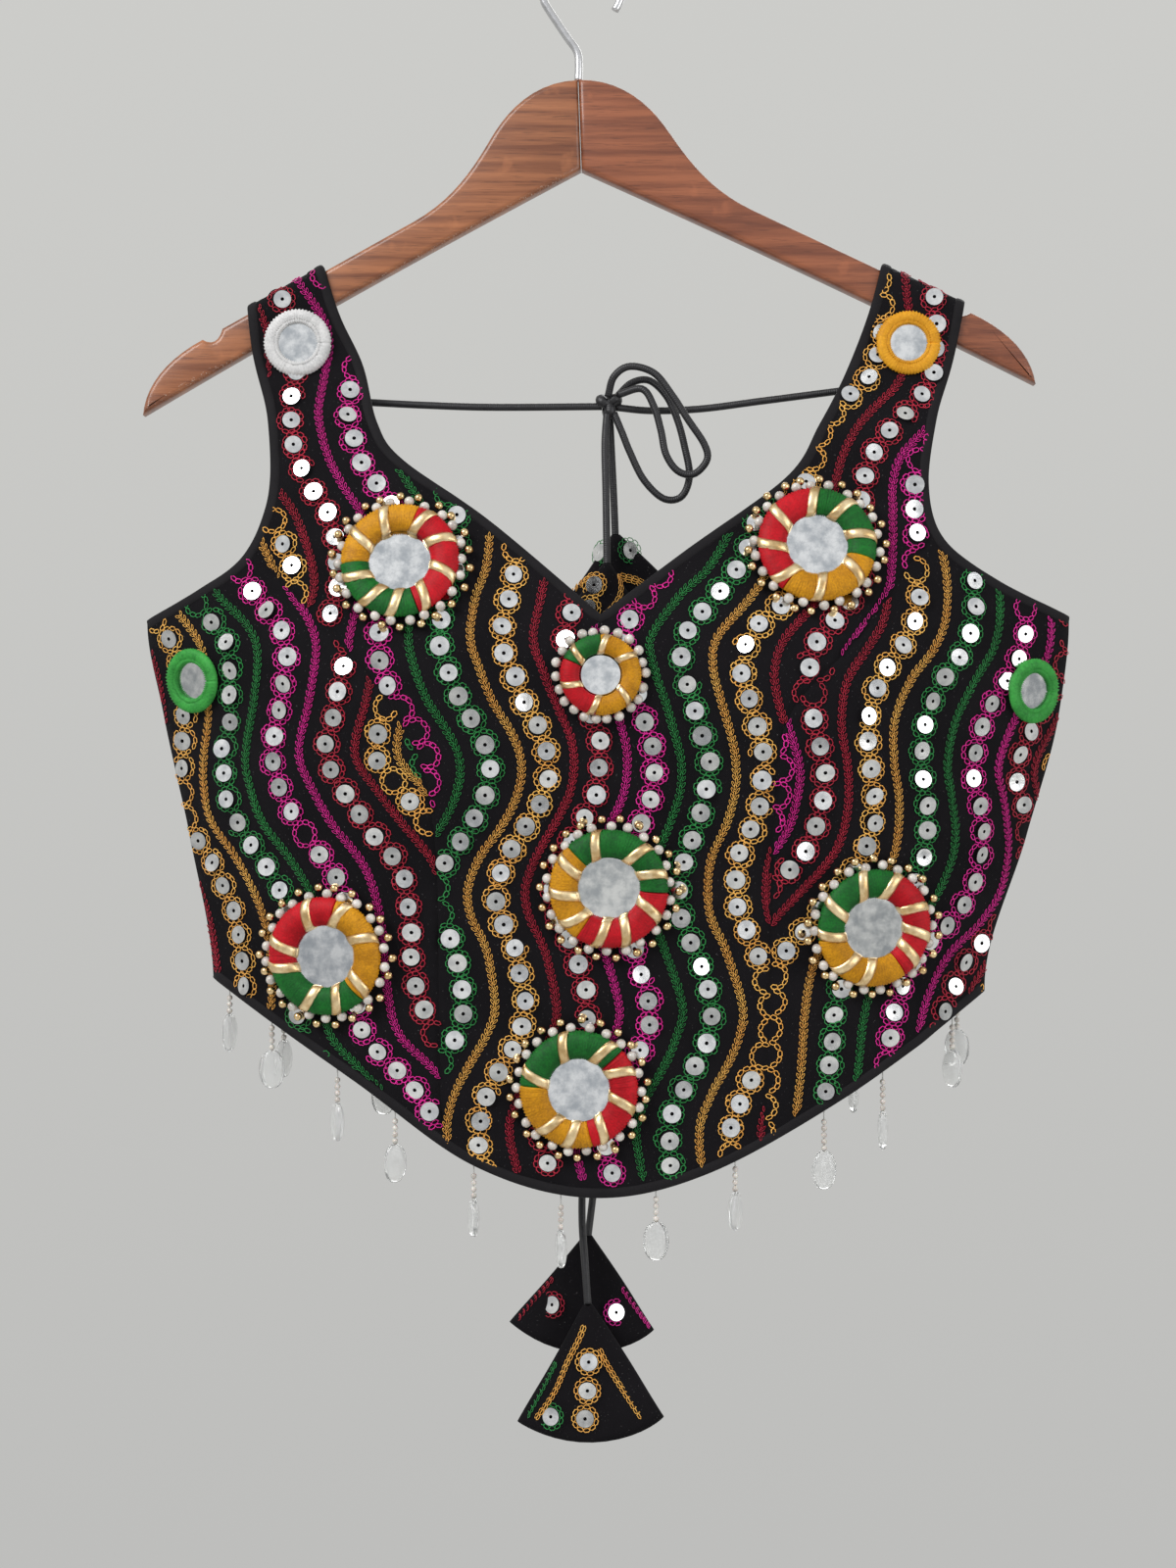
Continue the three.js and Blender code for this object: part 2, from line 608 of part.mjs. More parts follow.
// Rings of equal count joined in order, with a flat end on the first and the last.
function loft(rings) {
  const sides = rings[0].length;
  const triangles = [];
  rings.slice(1).forEach((_, r) => {
    for (let i = 0; i < sides; i += 1) {
      const next = (i + 1) % sides;
      const [a, b] = [r * sides + i, r * sides + next];
      triangles.push(a, a + sides, b, b, a + sides, b + sides);
    }
  });
  const end = (rings.length - 1) * sides;
  for (let i = 1; i < sides - 1; i += 1) triangles.push(0, i, i + 1, end, end + i + 1, end + i);
  const geometry = new THREE.BufferGeometry();
  const places = rings.flat().flatMap((point) => point.toArray());
  geometry.setAttribute('position', new THREE.Float32BufferAttribute(places, 3));
  geometry.setIndex(triangles);
  return geometry;
}

const LATKANS = [
  { name: 'upper_back', apex: room(16.8, 18, -287.5), length: 56, halfAngle: 40, lean: 6 },
  { name: 'upper_front', apex: room(12.5, 1, -303.5), length: 56, halfAngle: 34, lean: -3 },
  { name: 'lower_back', apex: room(3, 28, -643), length: 60, halfAngle: 37, lean: -3 },
  { name: 'lower_front', apex: room(2.9, 8, -673.5), length: 70, halfAngle: 31, lean: 2 },
];

// One ring of the cone's wall, this far down from its apex, and this far in from its outside.
function latkanRing({ apex, halfAngle, lean }, along, inset) {
  const depth = Math.min(LATKAN_DEPTH.apex + along * LATKAN_DEPTH.growth, LATKAN_DEPTH.most) - inset;
  const spread = THREE.MathUtils.degToRad(halfAngle) - inset / along;
  const middle = THREE.MathUtils.degToRad(lean);
  return Array.from({ length: LATKAN_SIDES }, (_, i) => {
    const turn = (2 * Math.PI * i) / LATKAN_SIDES;
    const angle = middle + spread * Math.cos(turn);
    return room(
      apex.x + along * Math.sin(angle),
      apex.y + depth * Math.sin(turn),
      apex.z - along * Math.cos(angle),
    );
  });
}

for (const latkan of LATKANS) {
  // How far down the cone each ring of its wall is: down its outside, then up its inside.
  const outside = [3, 16, 32, latkan.length * 0.8, latkan.length];
  const inside = [latkan.length, latkan.length * 0.7, 22, 8];
  const rings = [
    ...outside.map((along) => latkanRing(latkan, along, 0)),
    ...inside.map((along) => latkanRing(latkan, along, LATKAN_WALL)),
  ];
  addPiece(`latkan_${latkan.name}`, loft(rings), FINISH.cloth);
}

// ---- Hanger: two wooden arms that meet in a mitre, and a wire hook ----

// An arm is drawn from the top of the head out, and a little past the middle, where the mitre
// cuts it off.
const PAST_MITRE = { x: -20, top: -22, bottom: -40 };
const ARM_END_X = 181;
const MITRE_BLOCK = { width: 300, depth: 60, height: 300, z: -100 };

function hangerArms() {
  const side = (sign) => {
    const half = new THREE.Shape();
    half.moveTo(PAST_MITRE.x * sign, PAST_MITRE.top);
    half.lineTo(0, 0);
    half.bezierCurveTo(22 * sign, 0, 36 * sign, -14, 45 * sign, -28.5);
    half.bezierCurveTo(54 * sign, -42.5, 64 * sign, -57, ARM_TOP.x * sign, ARM_TOP.z);
    half.lineTo(ARM_END_X * sign, ARM_TOP.z - (ARM_END_X - ARM_TOP.x) * ARM_TOP.fall);
    half.quadraticCurveTo(184 * sign, -127, 191 * sign, -122.5);
    half.bezierCurveTo(210 * sign, -132, 220.5 * sign, -145, 222 * sign, -159);
    half.quadraticCurveTo(115 * sign, -100.5, 0, -44.7);
    half.lineTo(PAST_MITRE.x * sign, PAST_MITRE.bottom);
    return half;
  };
  const halves = [-1, 1].map((sign) => {
    const { rounding } = HANGER;
    const bar = new THREE.ExtrudeGeometry(side(sign), {
      depth: HANGER.thick - 2 * rounding, curveSegments: 6, bevelThickness: rounding,
      bevelSize: rounding, bevelOffset: -rounding, bevelSegments: 2,
    });
    bar.translate(0, 0, -HANGER.thick / 2 + rounding);
    bar.rotateX(Math.PI / 2);
    const block = new THREE.BoxGeometry(MITRE_BLOCK.width, MITRE_BLOCK.depth, MITRE_BLOCK.height);
    block.translate((sign * (MITRE_BLOCK.width + HANGER.mitreGap)) / 2, 0, MITRE_BLOCK.z);
    const arm = toGeometry(toSolid(bar).intersect(toSolid(block)));
    return arm.rotateY(-HANGER.tilt).translate(HEAD.x, 0, HEAD.z);
  });
  return { left: halves[0], right: halves[1] };
}

const arms = hangerArms();
addPiece('hanger_arm_left', arms.left, FINISH.lightWood);
addPiece('hanger_arm_right', arms.right, FINISH.redWood);

function hookGeometry() {
  const radius = HOOK.innerRadius + HOOK.wire / 2;
  const centre = -HOOK.innerRadius;
  const stem = [room(HEAD.x, 0, HEAD.z + 0.3), room(-1.6, 0, -57), room(-2.5, 0, -50), room(-8, 0, -42)];
  const bend = [];
  for (let i = 0; i <= HOOK.bendPoints; i += 1) {
    const turn = THREE.MathUtils.lerp(HOOK.bendFrom, HOOK.bendTo, i / HOOK.bendPoints);
    const angle = THREE.MathUtils.degToRad(turn);
    bend.push(room(radius * Math.cos(angle), 0, centre + radius * Math.sin(angle)));
  }
  return new THREE.ExtrudeGeometry(roundSection(HOOK.wire / 2, HOOK.sides), {
    extrudePath: new THREE.CatmullRomCurve3([...stem, ...bend]), steps: HOOK.steps, bevelEnabled: false,
  });
}

addPiece('hanger_hook', hookGeometry(), FINISH.steel);

export default blouse;
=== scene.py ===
import math

import bmesh
import bpy
import numpy as np
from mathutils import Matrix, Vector
from mathutils.geometry import delaunay_2d_cdt


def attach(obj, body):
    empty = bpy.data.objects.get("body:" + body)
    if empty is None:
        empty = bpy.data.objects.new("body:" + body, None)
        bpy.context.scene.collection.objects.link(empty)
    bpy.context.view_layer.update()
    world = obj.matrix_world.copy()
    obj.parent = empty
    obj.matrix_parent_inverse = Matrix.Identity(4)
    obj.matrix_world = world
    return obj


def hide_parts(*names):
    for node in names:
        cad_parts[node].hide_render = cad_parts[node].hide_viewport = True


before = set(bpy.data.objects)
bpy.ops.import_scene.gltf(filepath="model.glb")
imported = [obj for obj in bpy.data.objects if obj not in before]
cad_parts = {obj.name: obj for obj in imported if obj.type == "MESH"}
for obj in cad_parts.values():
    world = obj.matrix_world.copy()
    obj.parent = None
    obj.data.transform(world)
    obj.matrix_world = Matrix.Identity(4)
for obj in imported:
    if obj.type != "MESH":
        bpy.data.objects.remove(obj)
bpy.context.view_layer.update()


# ---------------------------------------------------------------------------
# The wooden hanger: two arms of lacquered hardwood, planed from one pattern and
# glued at a mitre under the hook. The lacquer has rubbed off along the edges.

MM = 0.001
HANGER_THICK = 12 * MM
HANGER_ROUNDING = 2.6 * MM
HANGER_TILT = math.radians(2)
HEAD = (-1.9 * MM, -65 * MM)
HALF_MITRE = 0.15 * MM
# The arm's outline, in mm: its top falls straight from ARM_TOP to ARM_SHOULDER.
ARM_FALL = 0.515
ARM_TOP = (84, -67.5)
ARM_SHOULDER = 181
HEAD_TALL = 44.7


class Value:
    """A shader socket that takes part in sums, so that a finish reads as a formula."""

    def __init__(self, nodes, socket):
        self.nodes = nodes
        self.socket = socket

    def node(self, kind, settings=None, **inputs):
        """A node with these inputs, by name, or by number as _0, _1 and so on."""
        made = self.nodes.new("ShaderNode" + kind)
        for name, value in (settings or {}).items():
            setattr(made, name, value)
        for name, value in inputs.items():
            number = name[1:]
            socket = made.inputs[int(number) if number.isdigit() else name.replace("_", " ")]
            if isinstance(value, Value):
                self.nodes.id_data.links.new(value.socket, socket)
            else:
                socket.default_value = value
        return made

    def out(self, made, name=0):
        return Value(self.nodes, made.outputs[name])

    def maths(self, operation, first, second=0.0, third=0.0):
        return self.out(self.node("Math", {"operation": operation}, _0=first, _1=second, _2=third))

    def __add__(self, other):
        return self.maths("ADD", self, other)

    def __sub__(self, other):
        return self.maths("SUBTRACT", self, other)

    def __rsub__(self, other):
        return self.maths("SUBTRACT", other, self)

    def __mul__(self, other):
        return self.maths("MULTIPLY", self, other)

    def __truediv__(self, other):
        return self.maths("DIVIDE", self, other)

    __radd__ = __add__
    __rmul__ = __mul__

    def step(self, low, high):
        """0 below low, 1 above high and smooth between."""
        ranged = self.node("MapRange", {"interpolation_type": "SMOOTHSTEP"}, Value=self)
        ranged.inputs["From Min"].default_value = low
        ranged.inputs["From Max"].default_value = high
        return self.out(ranged)

    def tint(self, first, second):
        """The first colour where this is 0 and the second where it is 1."""
        mixed = self.node("Mix", {"data_type": "RGBA"}, _0=self)
        for socket, colour in ((mixed.inputs[6], first), (mixed.inputs[7], second)):
            if isinstance(colour, Value):
                self.nodes.id_data.links.new(colour.socket, socket)
            else:
                socket.default_value = (*colour, 1)
        return self.out(mixed, 2)


class Finish:
    """A new material with its shader and the places that its patterns are measured in."""

    def __init__(self, name, **shader):
        self.material = bpy.data.materials.new(name)
        self.material.use_nodes = True
        nodes = self.material.node_tree.nodes
        self.shader = nodes["Principled BSDF"]
        for socket, value in shader.items():
            self.shader.inputs[socket.replace("_", " ")].default_value = value
        self.tools = Value(nodes, None)
        places = nodes.new("ShaderNodeTexCoord")
        self.object = Value(nodes, places.outputs["Object"])
        self.uv = Value(nodes, places.outputs["UV"])

    def parts(self, vector):
        split = self.tools.node("SeparateXYZ", None, Vector=vector)
        return [Value(self.tools.nodes, split.outputs[axis]) for axis in range(3)]

    def spread(self, vector, size, turn=(0, 0, 0)):
        """The places turned, and counted in steps of this size along each axis."""
        mapped = self.tools.node("Mapping", None, Vector=vector, Rotation=turn)
        mapped.inputs["Scale"].default_value = [1 / length for length in size]
        return self.tools.out(mapped)

    def noise(self, vector, scale=1.0, detail=3.0, rough=0.5):
        return self.tools.out(self.tools.node(
            "TexNoise", None, Vector=vector, Scale=scale, Detail=detail, Roughness=rough))

    def bump(self, height, depth, strength=1.0):
        made = self.tools.node("Bump", None, Height=height, Distance=depth, Strength=strength)
        self.set(Normal=self.tools.out(made))

    def set(self, **links):
        for name, value in links.items():
            self.material.node_tree.links.new(value.socket, self.shader.inputs[name.replace("_", " ")])
        return self.material


def add_piece(name, mesh, finish, slot, nodes=()):
    """A finished mesh as a piece of the object, riding on its one body."""
    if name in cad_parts:
        name += "_finished"
    piece = bpy.data.objects.new(name, mesh)
    bpy.context.scene.collection.objects.link(piece)
    if finish is not None:
        mesh.materials.clear()
        mesh.materials.append(finish)
    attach(piece, "root")
    if nodes:
        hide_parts(*nodes)
    return piece


def tilted(x, z):
    """A point of the level hanger, turned by its tilt about the head."""
    cos, sin = math.cos(HANGER_TILT), math.sin(HANGER_TILT)
    return (HEAD[0] + x * cos - z * sin, HEAD[1] + x * sin + z * cos)


def bezier(points, steps=10):
    """Points along one cubic or quadratic curve, without its first."""
    made = []
    for step in range(1, steps + 1):
        left = [Vector(point) for point in points]
        while len(left) > 1:
            left = [a.lerp(b, step / steps) for a, b in zip(left, left[1:])]
        made.append(tuple(left[0]))
    return made


def arm_outline():
    """One arm of the level hanger, from the mitre out along the top and back below, in mm."""
    shoulder = (ARM_SHOULDER, ARM_TOP[1] - (ARM_SHOULDER - ARM_TOP[0]) * ARM_FALL)
    outline = [(0, 0)]
    outline += bezier([(0, 0), (22, 0), (36, -14), (45, -28.5)])
    outline += bezier([(45, -28.5), (54, -42.5), (64, -57), ARM_TOP])
    outline += [shoulder]
    outline += bezier([shoulder, (184, -127), (191, -122.5)], 6)
    outline += bezier([(191, -122.5), (210, -132), (220.5, -145), (222, -159)])
    outline += bezier([(222, -159), (115, -100.5), (0, -HEAD_TALL)], 16)
    return outline


def plate(outline, thick, rounding, rings=4):
    """A flat board of this outline with its edges rounded over."""
    places = [Vector(point) for point in outline]
    if sum(a.x * b.y - b.x * a.y for a, b in zip(places, places[1:] + places[:1])) < 0:
        places.reverse()
    count = len(places)
    inward = []
    for index, place in enumerate(places):
        before = (place - places[index - 1]).normalized()
        after = (places[(index + 1) % count] - place).normalized()
        across = Vector((-before.y - after.y, before.x + after.x)).normalized()
        inward.append(across / max(across.dot(Vector((-after.y, after.x))), 0.5))
    levels = []
    for side in (-1, 1):
        for step in range(rings + 1):
            turn = step / rings * math.pi / 2
            if side > 0:
                turn = math.pi / 2 - turn
            set_in = rounding * (1 - math.sin(turn))
            levels.append((set_in, side * (thick / 2 - rounding + rounding * math.cos(turn))))
    mesh = bmesh.new()
    loops = []
    for set_in, depth in levels:
        loops.append([mesh.verts.new((p.x + q.x * set_in, depth, p.y + q.y * set_in))
                      for p, q in zip(places, inward)])
    for low, high in zip(loops, loops[1:]):
        for index in range(count):
            after = (index + 1) % count
            mesh.faces.new((low[index], low[after], high[after], high[index]))
    mesh.faces.new(loops[0][::-1])
    mesh.faces.new(loops[-1])
    bmesh.ops.recalc_face_normals(mesh, faces=mesh.faces)
    bmesh.ops.triangulate(mesh, faces=[face for face in mesh.faces if len(face.verts) > 4])
    made = bpy.data.meshes.new("board")
    mesh.to_mesh(made)
    mesh.free()
    made.shade_smooth()
    made.set_sharp_from_angle(angle=math.radians(35))
    return made


def wood_finish(name, dark, light, turn):
    """Lacquered wood whose grain runs with the arm, chipped along the arms' lower edges."""
    finish = Finish(name, IOR=1.5, Coat_Roughness=0.12)
    x, y, z = finish.parts(finish.object)
    grain = finish.spread(finish.object, (0.11, 0.02, 0.0045), (0, turn, 0))
    bands = finish.noise(grain, 1, 5, 0.62)
    pores = finish.noise(finish.spread(finish.object, (0.014, 0.004, 0.0007), (0, turn, 0)), 1, 2, 0.6)
    lean = math.tan(HANGER_TILT)
    lower = (z - HEAD[1] + HEAD_TALL * MM) * -1.0
    away = finish.tools.maths("ABSOLUTE", x - HEAD[0])
    level = lower + (x - HEAD[0]) * lean - away * ARM_FALL
    edge = finish.tools.maths("ABSOLUTE", level)
    chips = finish.noise(finish.object, 900, 2, 0.8).step(0.58, 0.68) * (1 - edge.step(0.0, 0.0022))
    rubbed = finish.noise(finish.object, 75, 3).step(0.6, 0.72)
    colour = bands.step(0.3, 0.7).tint(dark, light)
    colour = (pores.step(0.42, 0.3) * 0.5).tint(colour, tuple(c * 0.35 for c in dark))
    colour = (rubbed * 0.25).tint(colour, tuple(min(c * 1.5, 1) for c in light))
    colour = (chips * 0.85).tint(colour, (0.62, 0.47, 0.38))
    finish.bump(pores * 0.6 + bands * 0.4 + chips, 0.00025, 0.5)
    return finish.set(Base_Color=colour, Roughness=0.3 + bands * 0.16 + chips * 0.3,
                      Coat_Weight=0.35 - chips * 0.35)


ARMS = {
    "hanger_arm_left": (-1, (0.16, 0.048, 0.018), (0.36, 0.13, 0.05), -0.5, "wood_light"),
    "hanger_arm_right": (1, (0.14, 0.036, 0.014), (0.31, 0.095, 0.038), 0.5, "wood_red"),
}
for name, (side, dark, light, turn, slot) in ARMS.items():
    half = [(side * max(x * MM, HALF_MITRE), z * MM) for x, z in arm_outline()]
    board = plate([tilted(x, z) for x, z in half], HANGER_THICK, HANGER_ROUNDING)
    add_piece(name, board, wood_finish(name, dark, light, turn), slot, [name])


# ---------------------------------------------------------------------------
# The hook: one length of plated steel wire, screwed into the hanger's head and
# bent round to hang on a rail.

WIRE = 4 * MM
HOOK_RADIUS = 20 * MM
HOOK_MIDDLE = -18 * MM
HOOK_STEM = [(-1.9, -64.7), (-1.6, -57), (-2.5, -50), (-8, -42)]
HOOK_TURN = (222, -35)


def smooth_path(points, step):
    """Points evenly spaced along a smooth curve through the given ones."""
    points = np.array(points, float)
    ends = np.vstack([2 * points[0] - points[1], points, 2 * points[-1] - points[-2]])
    dense = []
    for a, b, c, d in zip(ends, ends[1:], ends[2:], ends[3:]):
        for t in np.linspace(0, 1, 16, endpoint=False):
            dense.append(0.5 * (2 * b + (c - a) * t + (2 * a - 5 * b + 4 * c - d) * t * t
                                + (3 * b - a - 3 * c + d) * t ** 3))
    dense = np.array(dense + [points[-1]])
    along = np.concatenate([[0], np.cumsum(np.linalg.norm(np.diff(dense, axis=0), axis=1))])
    even = np.linspace(0, along[-1], max(int(round(along[-1] / step)), 2) + 1)
    return np.stack([np.interp(even, along, dense[:, axis]) for axis in range(points.shape[1])], axis=1)


def skin_mesh(name, points, faces):
    """A smooth mesh of these faces, all turned outward."""
    mesh = bpy.data.meshes.new(name)
    mesh.from_pydata([tuple(point) for point in points], [], faces)
    made = bmesh.new()
    made.from_mesh(mesh)
    bmesh.ops.recalc_face_normals(made, faces=made.faces)
    made.to_mesh(mesh)
    made.free()
    mesh.shade_smooth()
    return mesh


def grid_mesh(name, rows):
    """A closed skin over rows of points, each row a ring; the first and last are filled."""
    rows = [np.asarray(row) for row in rows]
    size = len(rows[0])
    verts = np.vstack(rows)
    faces = []
    for row in range(len(rows) - 1):
        for index in range(size):
            after = (index + 1) % size
            faces.append((row * size + index, row * size + after,
                          (row + 1) * size + after, (row + 1) * size + index))
    for row, order in ((0, -1), (len(rows) - 1, 1)):
        middle = len(verts)
        verts = np.vstack([verts, rows[row].mean(axis=0)])
        for index in range(size):
            pair = (row * size + index, row * size + (index + 1) % size)
            faces.append((*pair[::order], middle))
    return skin_mesh(name, verts, faces)


def tube(name, path, radius, sides):
    """A round bar or cord along a path, with the distance along it kept as its UV."""
    path = np.asarray(path)
    rows = []
    across = None
    for index, point in enumerate(path):
        ahead = path[min(index + 1, len(path) - 1)] - path[max(index - 1, 0)]
        ahead = ahead / np.linalg.norm(ahead)
        if across is None:
            across = np.cross(ahead, (0, 1, 0) if abs(ahead[1]) < 0.9 else (1, 0, 0))
        across = across - ahead * across.dot(ahead)
        across = across / np.linalg.norm(across)
        up = np.cross(ahead, across)
        turns = np.arange(sides) / sides * 2 * math.pi
        rows.append(point + radius * (np.cos(turns)[:, None] * across + np.sin(turns)[:, None] * up))
    mesh = grid_mesh(name, rows)
    uv = mesh.uv_layers.new(name="along")
    reach = np.concatenate([[0], np.cumsum(np.linalg.norm(np.diff(path, axis=0), axis=1))])
    for face in mesh.polygons:
        turned = [mesh.loops[loop].vertex_index for loop in face.loop_indices]
        sides_used = [index % sides for index in turned if index < len(rows) * sides]
        wraps = max(sides_used) - min(sides_used) > 1
        for loop, index in zip(face.loop_indices, turned):
            row = min(index // sides, len(rows) - 1)
            side = index % sides + (sides if wraps and index % sides == 0 else 0)
            uv.data[loop].uv = (reach[row], side / sides)
    return mesh


hook_path = [(x * MM, 0, z * MM) for x, z in HOOK_STEM]
for degree in np.linspace(*HOOK_TURN, 22)[1:]:
    turn = math.radians(degree)
    hook_path.append((HOOK_RADIUS * math.cos(turn), 0, HOOK_MIDDLE + HOOK_RADIUS * math.sin(turn)))
steel = Finish("plated steel", Metallic=1.0)
scuffs = steel.noise(steel.object, 420, 3)
steel.bump(scuffs, 0.00006, 0.4)
steel.set(Base_Color=scuffs.tint((0.55, 0.55, 0.56), (0.74, 0.74, 0.75)), Roughness=0.2 + scuffs * 0.14)
hook = tube("hanger_hook", smooth_path(hook_path, 1.2 * MM), WIRE / 2, 16)
add_piece("hanger_hook", hook, steel.material, "steel", ["hanger_hook"])


# ---------------------------------------------------------------------------
# The garment's five panels: black cotton twill, cut to a pattern and sewn at the princess,
# side and shoulder seams. The front centre one is cut with both straps in one piece, and
# the straps go over the hanger's arms, from which the rest hangs with a little fullness.

# All sizes are in mm. A place on a panel is x, across, and t, its level on the hanging
# cloth, which runs on up over the arm where a strap turns over it.

WALL = 2 * MM
FRONT, BACK = -1, 1
FOLD_RADIUS, FOLD_LIFT = 7.5, 3.5
STRAP_REACH = {-1: (-180, -115), 1: (135, 205)}
EDGE_DEPTH = 1.15
SHOULDER_CUT = -150
CENTRE_X = 9
SEAM_GAP = 0.3
# The two side edges of the garment, and how far its front and back stand out, by level.
SIDE_SEAM = [(-620, -183, 199), (-515, -183, 200), (-440, -195, 221), (-380, -208, 237),
             (-334, -216, 242), (-150, -216, 242)]
FULLNESS = [(-620, 34, 15), (-540, 37, 17), (-440, 42, 20), (-365, 46, 21), (-300, 36, 18),
            (-250, 20, 10), (-195, 0, 0), (-150, 0, 0)]
EDGE_OPENS = (-330, -195)
# The bust's two swells: place, height and spread. They have faded out by the strap's level.
CUPS = [(-82, -370, 9, 44), (104, -370, 9, 44)]
CUPS_FADE = (-280, -195)
HEM_WAVE = {"height": 2.5, "length": 152, "from": -470, "to": -600}

# Creases in the cloth: side, from x and z, to x and z, width, height (a trough is below 0).
CREASES = [
    (FRONT, -150, -262, -96, -292, 7, -1.3), (FRONT, -158, -278, -118, -322, 8, 1.1),
    (FRONT, 166, -262, 128, -300, 7, -1.2), (FRONT, 170, -284, 148, -330, 9, 1.0),
    (FRONT, -208, -352, -150, -402, 10, -1.5), (FRONT, -196, -398, -160, -440, 9, 1.1),
    (FRONT, 232, -352, 186, -420, 10, -1.4), (FRONT, 214, -418, 178, -452, 9, 1.2),
    (FRONT, -40, -392, -52, -446, 9, 1.0), (FRONT, 46, -402, 58, -486, 11, -1.2),
    (FRONT, 84, -436, 96, -530, 10, 1.1), (FRONT, -96, -520, -110, -556, 8, -1.1),
    (FRONT, 40, -548, 62, -596, 9, -1.3), (FRONT, -46, -552, -30, -598, 9, 1.0),
    (FRONT, 150, -520, 172, -546, 8, 1.1), (FRONT, -30, -318, 2, -352, 8, -0.9),
    (BACK, -150, -256, -112, -306, 8, -1.4), (BACK, 168, -260, 134, -312, 9, -1.2),
    (BACK, -200, -356, -120, -398, 11, 1.3), (BACK, 226, -352, 158, -410, 10, -1.5),
    (BACK, -90, -380, -76, -470, 12, -1.5), (BACK, 96, -392, 84, -500, 12, 1.4),
    (BACK, -30, -372, -22, -430, 8, 1.2), (BACK, 40, -380, 34, -452, 9, -1.2),
    (BACK, -140, -470, -118, -536, 10, 1.3), (BACK, 150, -462, 130, -540, 10, -1.3),
    (BACK, -52, -500, -40, -556, 9, -1.2), (BACK, 60, -510, 52, -556, 9, 1.1),
]


def smoothstep(value, low, high):
    share = np.clip((value - low) / (high - low), 0, 1)
    return share * share * (3 - 2 * share)


def column(rows, place):
    """One column of a table against its first, as a smooth line that never overshoots."""
    rows = sorted(rows)
    levels = np.array([row[0] for row in rows], float)
    values = np.array([row[place] for row in rows], float)
    rises = np.diff(values) / np.diff(levels)
    slopes = np.zeros(len(levels))
    for index in range(1, len(levels) - 1):
        before, after = rises[index - 1], rises[index]
        if before * after > 0:
            slopes[index] = 2 * before * after / (before + after)

    def at(level):
        level = np.clip(level, levels[0], levels[-1])
        index = np.clip(np.searchsorted(levels, level, side="right") - 1, 0, len(levels) - 2)
        wide = levels[index + 1] - levels[index]
        t = (level - levels[index]) / wide
        first = (1 + 2 * t) * (1 - t) ** 2 * values[index] + t * (1 - t) ** 2 * wide * slopes[index]
        return first + t * t * (3 - 2 * t) * values[index + 1] + t * t * (t - 1) * wide * slopes[index + 1]
    return at


left_side, right_side = column(SIDE_SEAM, 1), column(SIDE_SEAM, 2)
fullness = {FRONT: column(FULLNESS, 1), BACK: column(FULLNESS, 2)}


def arm_top_height(x):
    """How high the top of the hanger's arm is at this place across, in mm."""
    tops = []
    for side in (-1, 1):
        start_x, start_z = tilted(side * ARM_TOP[0] * MM, ARM_TOP[1] * MM)
        slope = math.tan(math.atan(ARM_FALL) - side * HANGER_TILT)
        tops.append(start_z / MM - slope * side * (x - start_x / MM))
    return np.where(x < HEAD[0] / MM, tops[0], tops[1])


def fold_start(x):
    """The level on the cloth at which a strap begins to turn over the arm."""
    side_left = np.clip(x, *STRAP_REACH[-1])
    side_right = np.clip(x, *STRAP_REACH[1])
    reach = np.where(x < HEAD[0] / MM, side_left, side_right)
    return arm_top_height(reach) + FOLD_LIFT - FOLD_RADIUS


def shoulder_seam(x):
    """The level at which a strap of the front meets one of the back, on top of the arm."""
    return fold_start(x) + FOLD_RADIUS * math.pi / 2 - SEAM_GAP / 2


def cloth_depth(face, x, z):
    """How far the hanging cloth stands from the hanger's middle plane."""
    left, right = left_side(z), right_side(z)
    across = np.clip((x - left) / ((right - left) / 2) - 1, -1, 1)
    edge = EDGE_DEPTH + (FOLD_RADIUS - EDGE_DEPTH) * smoothstep(z, *EDGE_OPENS)
    crown = 1 - across ** 4
    low = 1 - smoothstep(z, HEM_WAVE["to"], HEM_WAVE["from"])
    wave = HEM_WAVE["height"] * np.sin(2 * math.pi * x / HEM_WAVE["length"]) * low * (1 - across ** 2)
    depth = edge + fullness[face](z) * crown
    if face == BACK:
        return depth - wave
    for cup_x, cup_z, height, spread in CUPS:
        near = np.exp(-((x - cup_x) ** 2 + (z - cup_z) ** 2) / (2 * spread ** 2))
        depth = depth + height * near * crown * (1 - smoothstep(z, *CUPS_FADE))
    return depth + wave


def crease_lift(face, x, z):
    """How far the creases raise the cloth or sink it."""
    lift = np.zeros_like(x)
    for side, from_x, from_z, to_x, to_z, width, height in CREASES:
        if side != face:
            continue
        way = np.array([to_x - from_x, to_z - from_z], float)
        length = np.linalg.norm(way)
        way /= length
        along = ((x - from_x) * way[0] + (z - from_z) * way[1]) / length
        off = (x - from_x) * -way[1] + (z - from_z) * way[0]
        off = off + 0.12 * length * np.sin(np.clip(along, 0, 1) * math.pi)
        taper = smoothstep(along, -0.15, 0.35) * (1 - smoothstep(along, 0.65, 1.15))
        lift += height * taper * np.exp(-(off / width) ** 2)
    return lift


def smooth_cloth(face, x, t):
    """Points of the uncreased cloth: it hangs up to fold_start, and turns over the arm above it."""
    start = fold_start(x)
    level = np.minimum(t, start)
    turn = np.maximum(t - start, 0) / FOLD_RADIUS
    depth = np.where(turn > 0, FOLD_RADIUS, cloth_depth(face, x, level))
    return np.stack([x, face * depth * np.cos(turn), level + FOLD_RADIUS * np.sin(turn)], axis=1)


def cloth_normal(face, x, t):
    step = 0.5
    up = smooth_cloth(face, x, t + step) - smooth_cloth(face, x, t - step)
    across = smooth_cloth(face, x + step, t) - smooth_cloth(face, x - step, t)
    normal = face * np.cross(up, across)
    return normal / np.linalg.norm(normal, axis=1)[:, None]


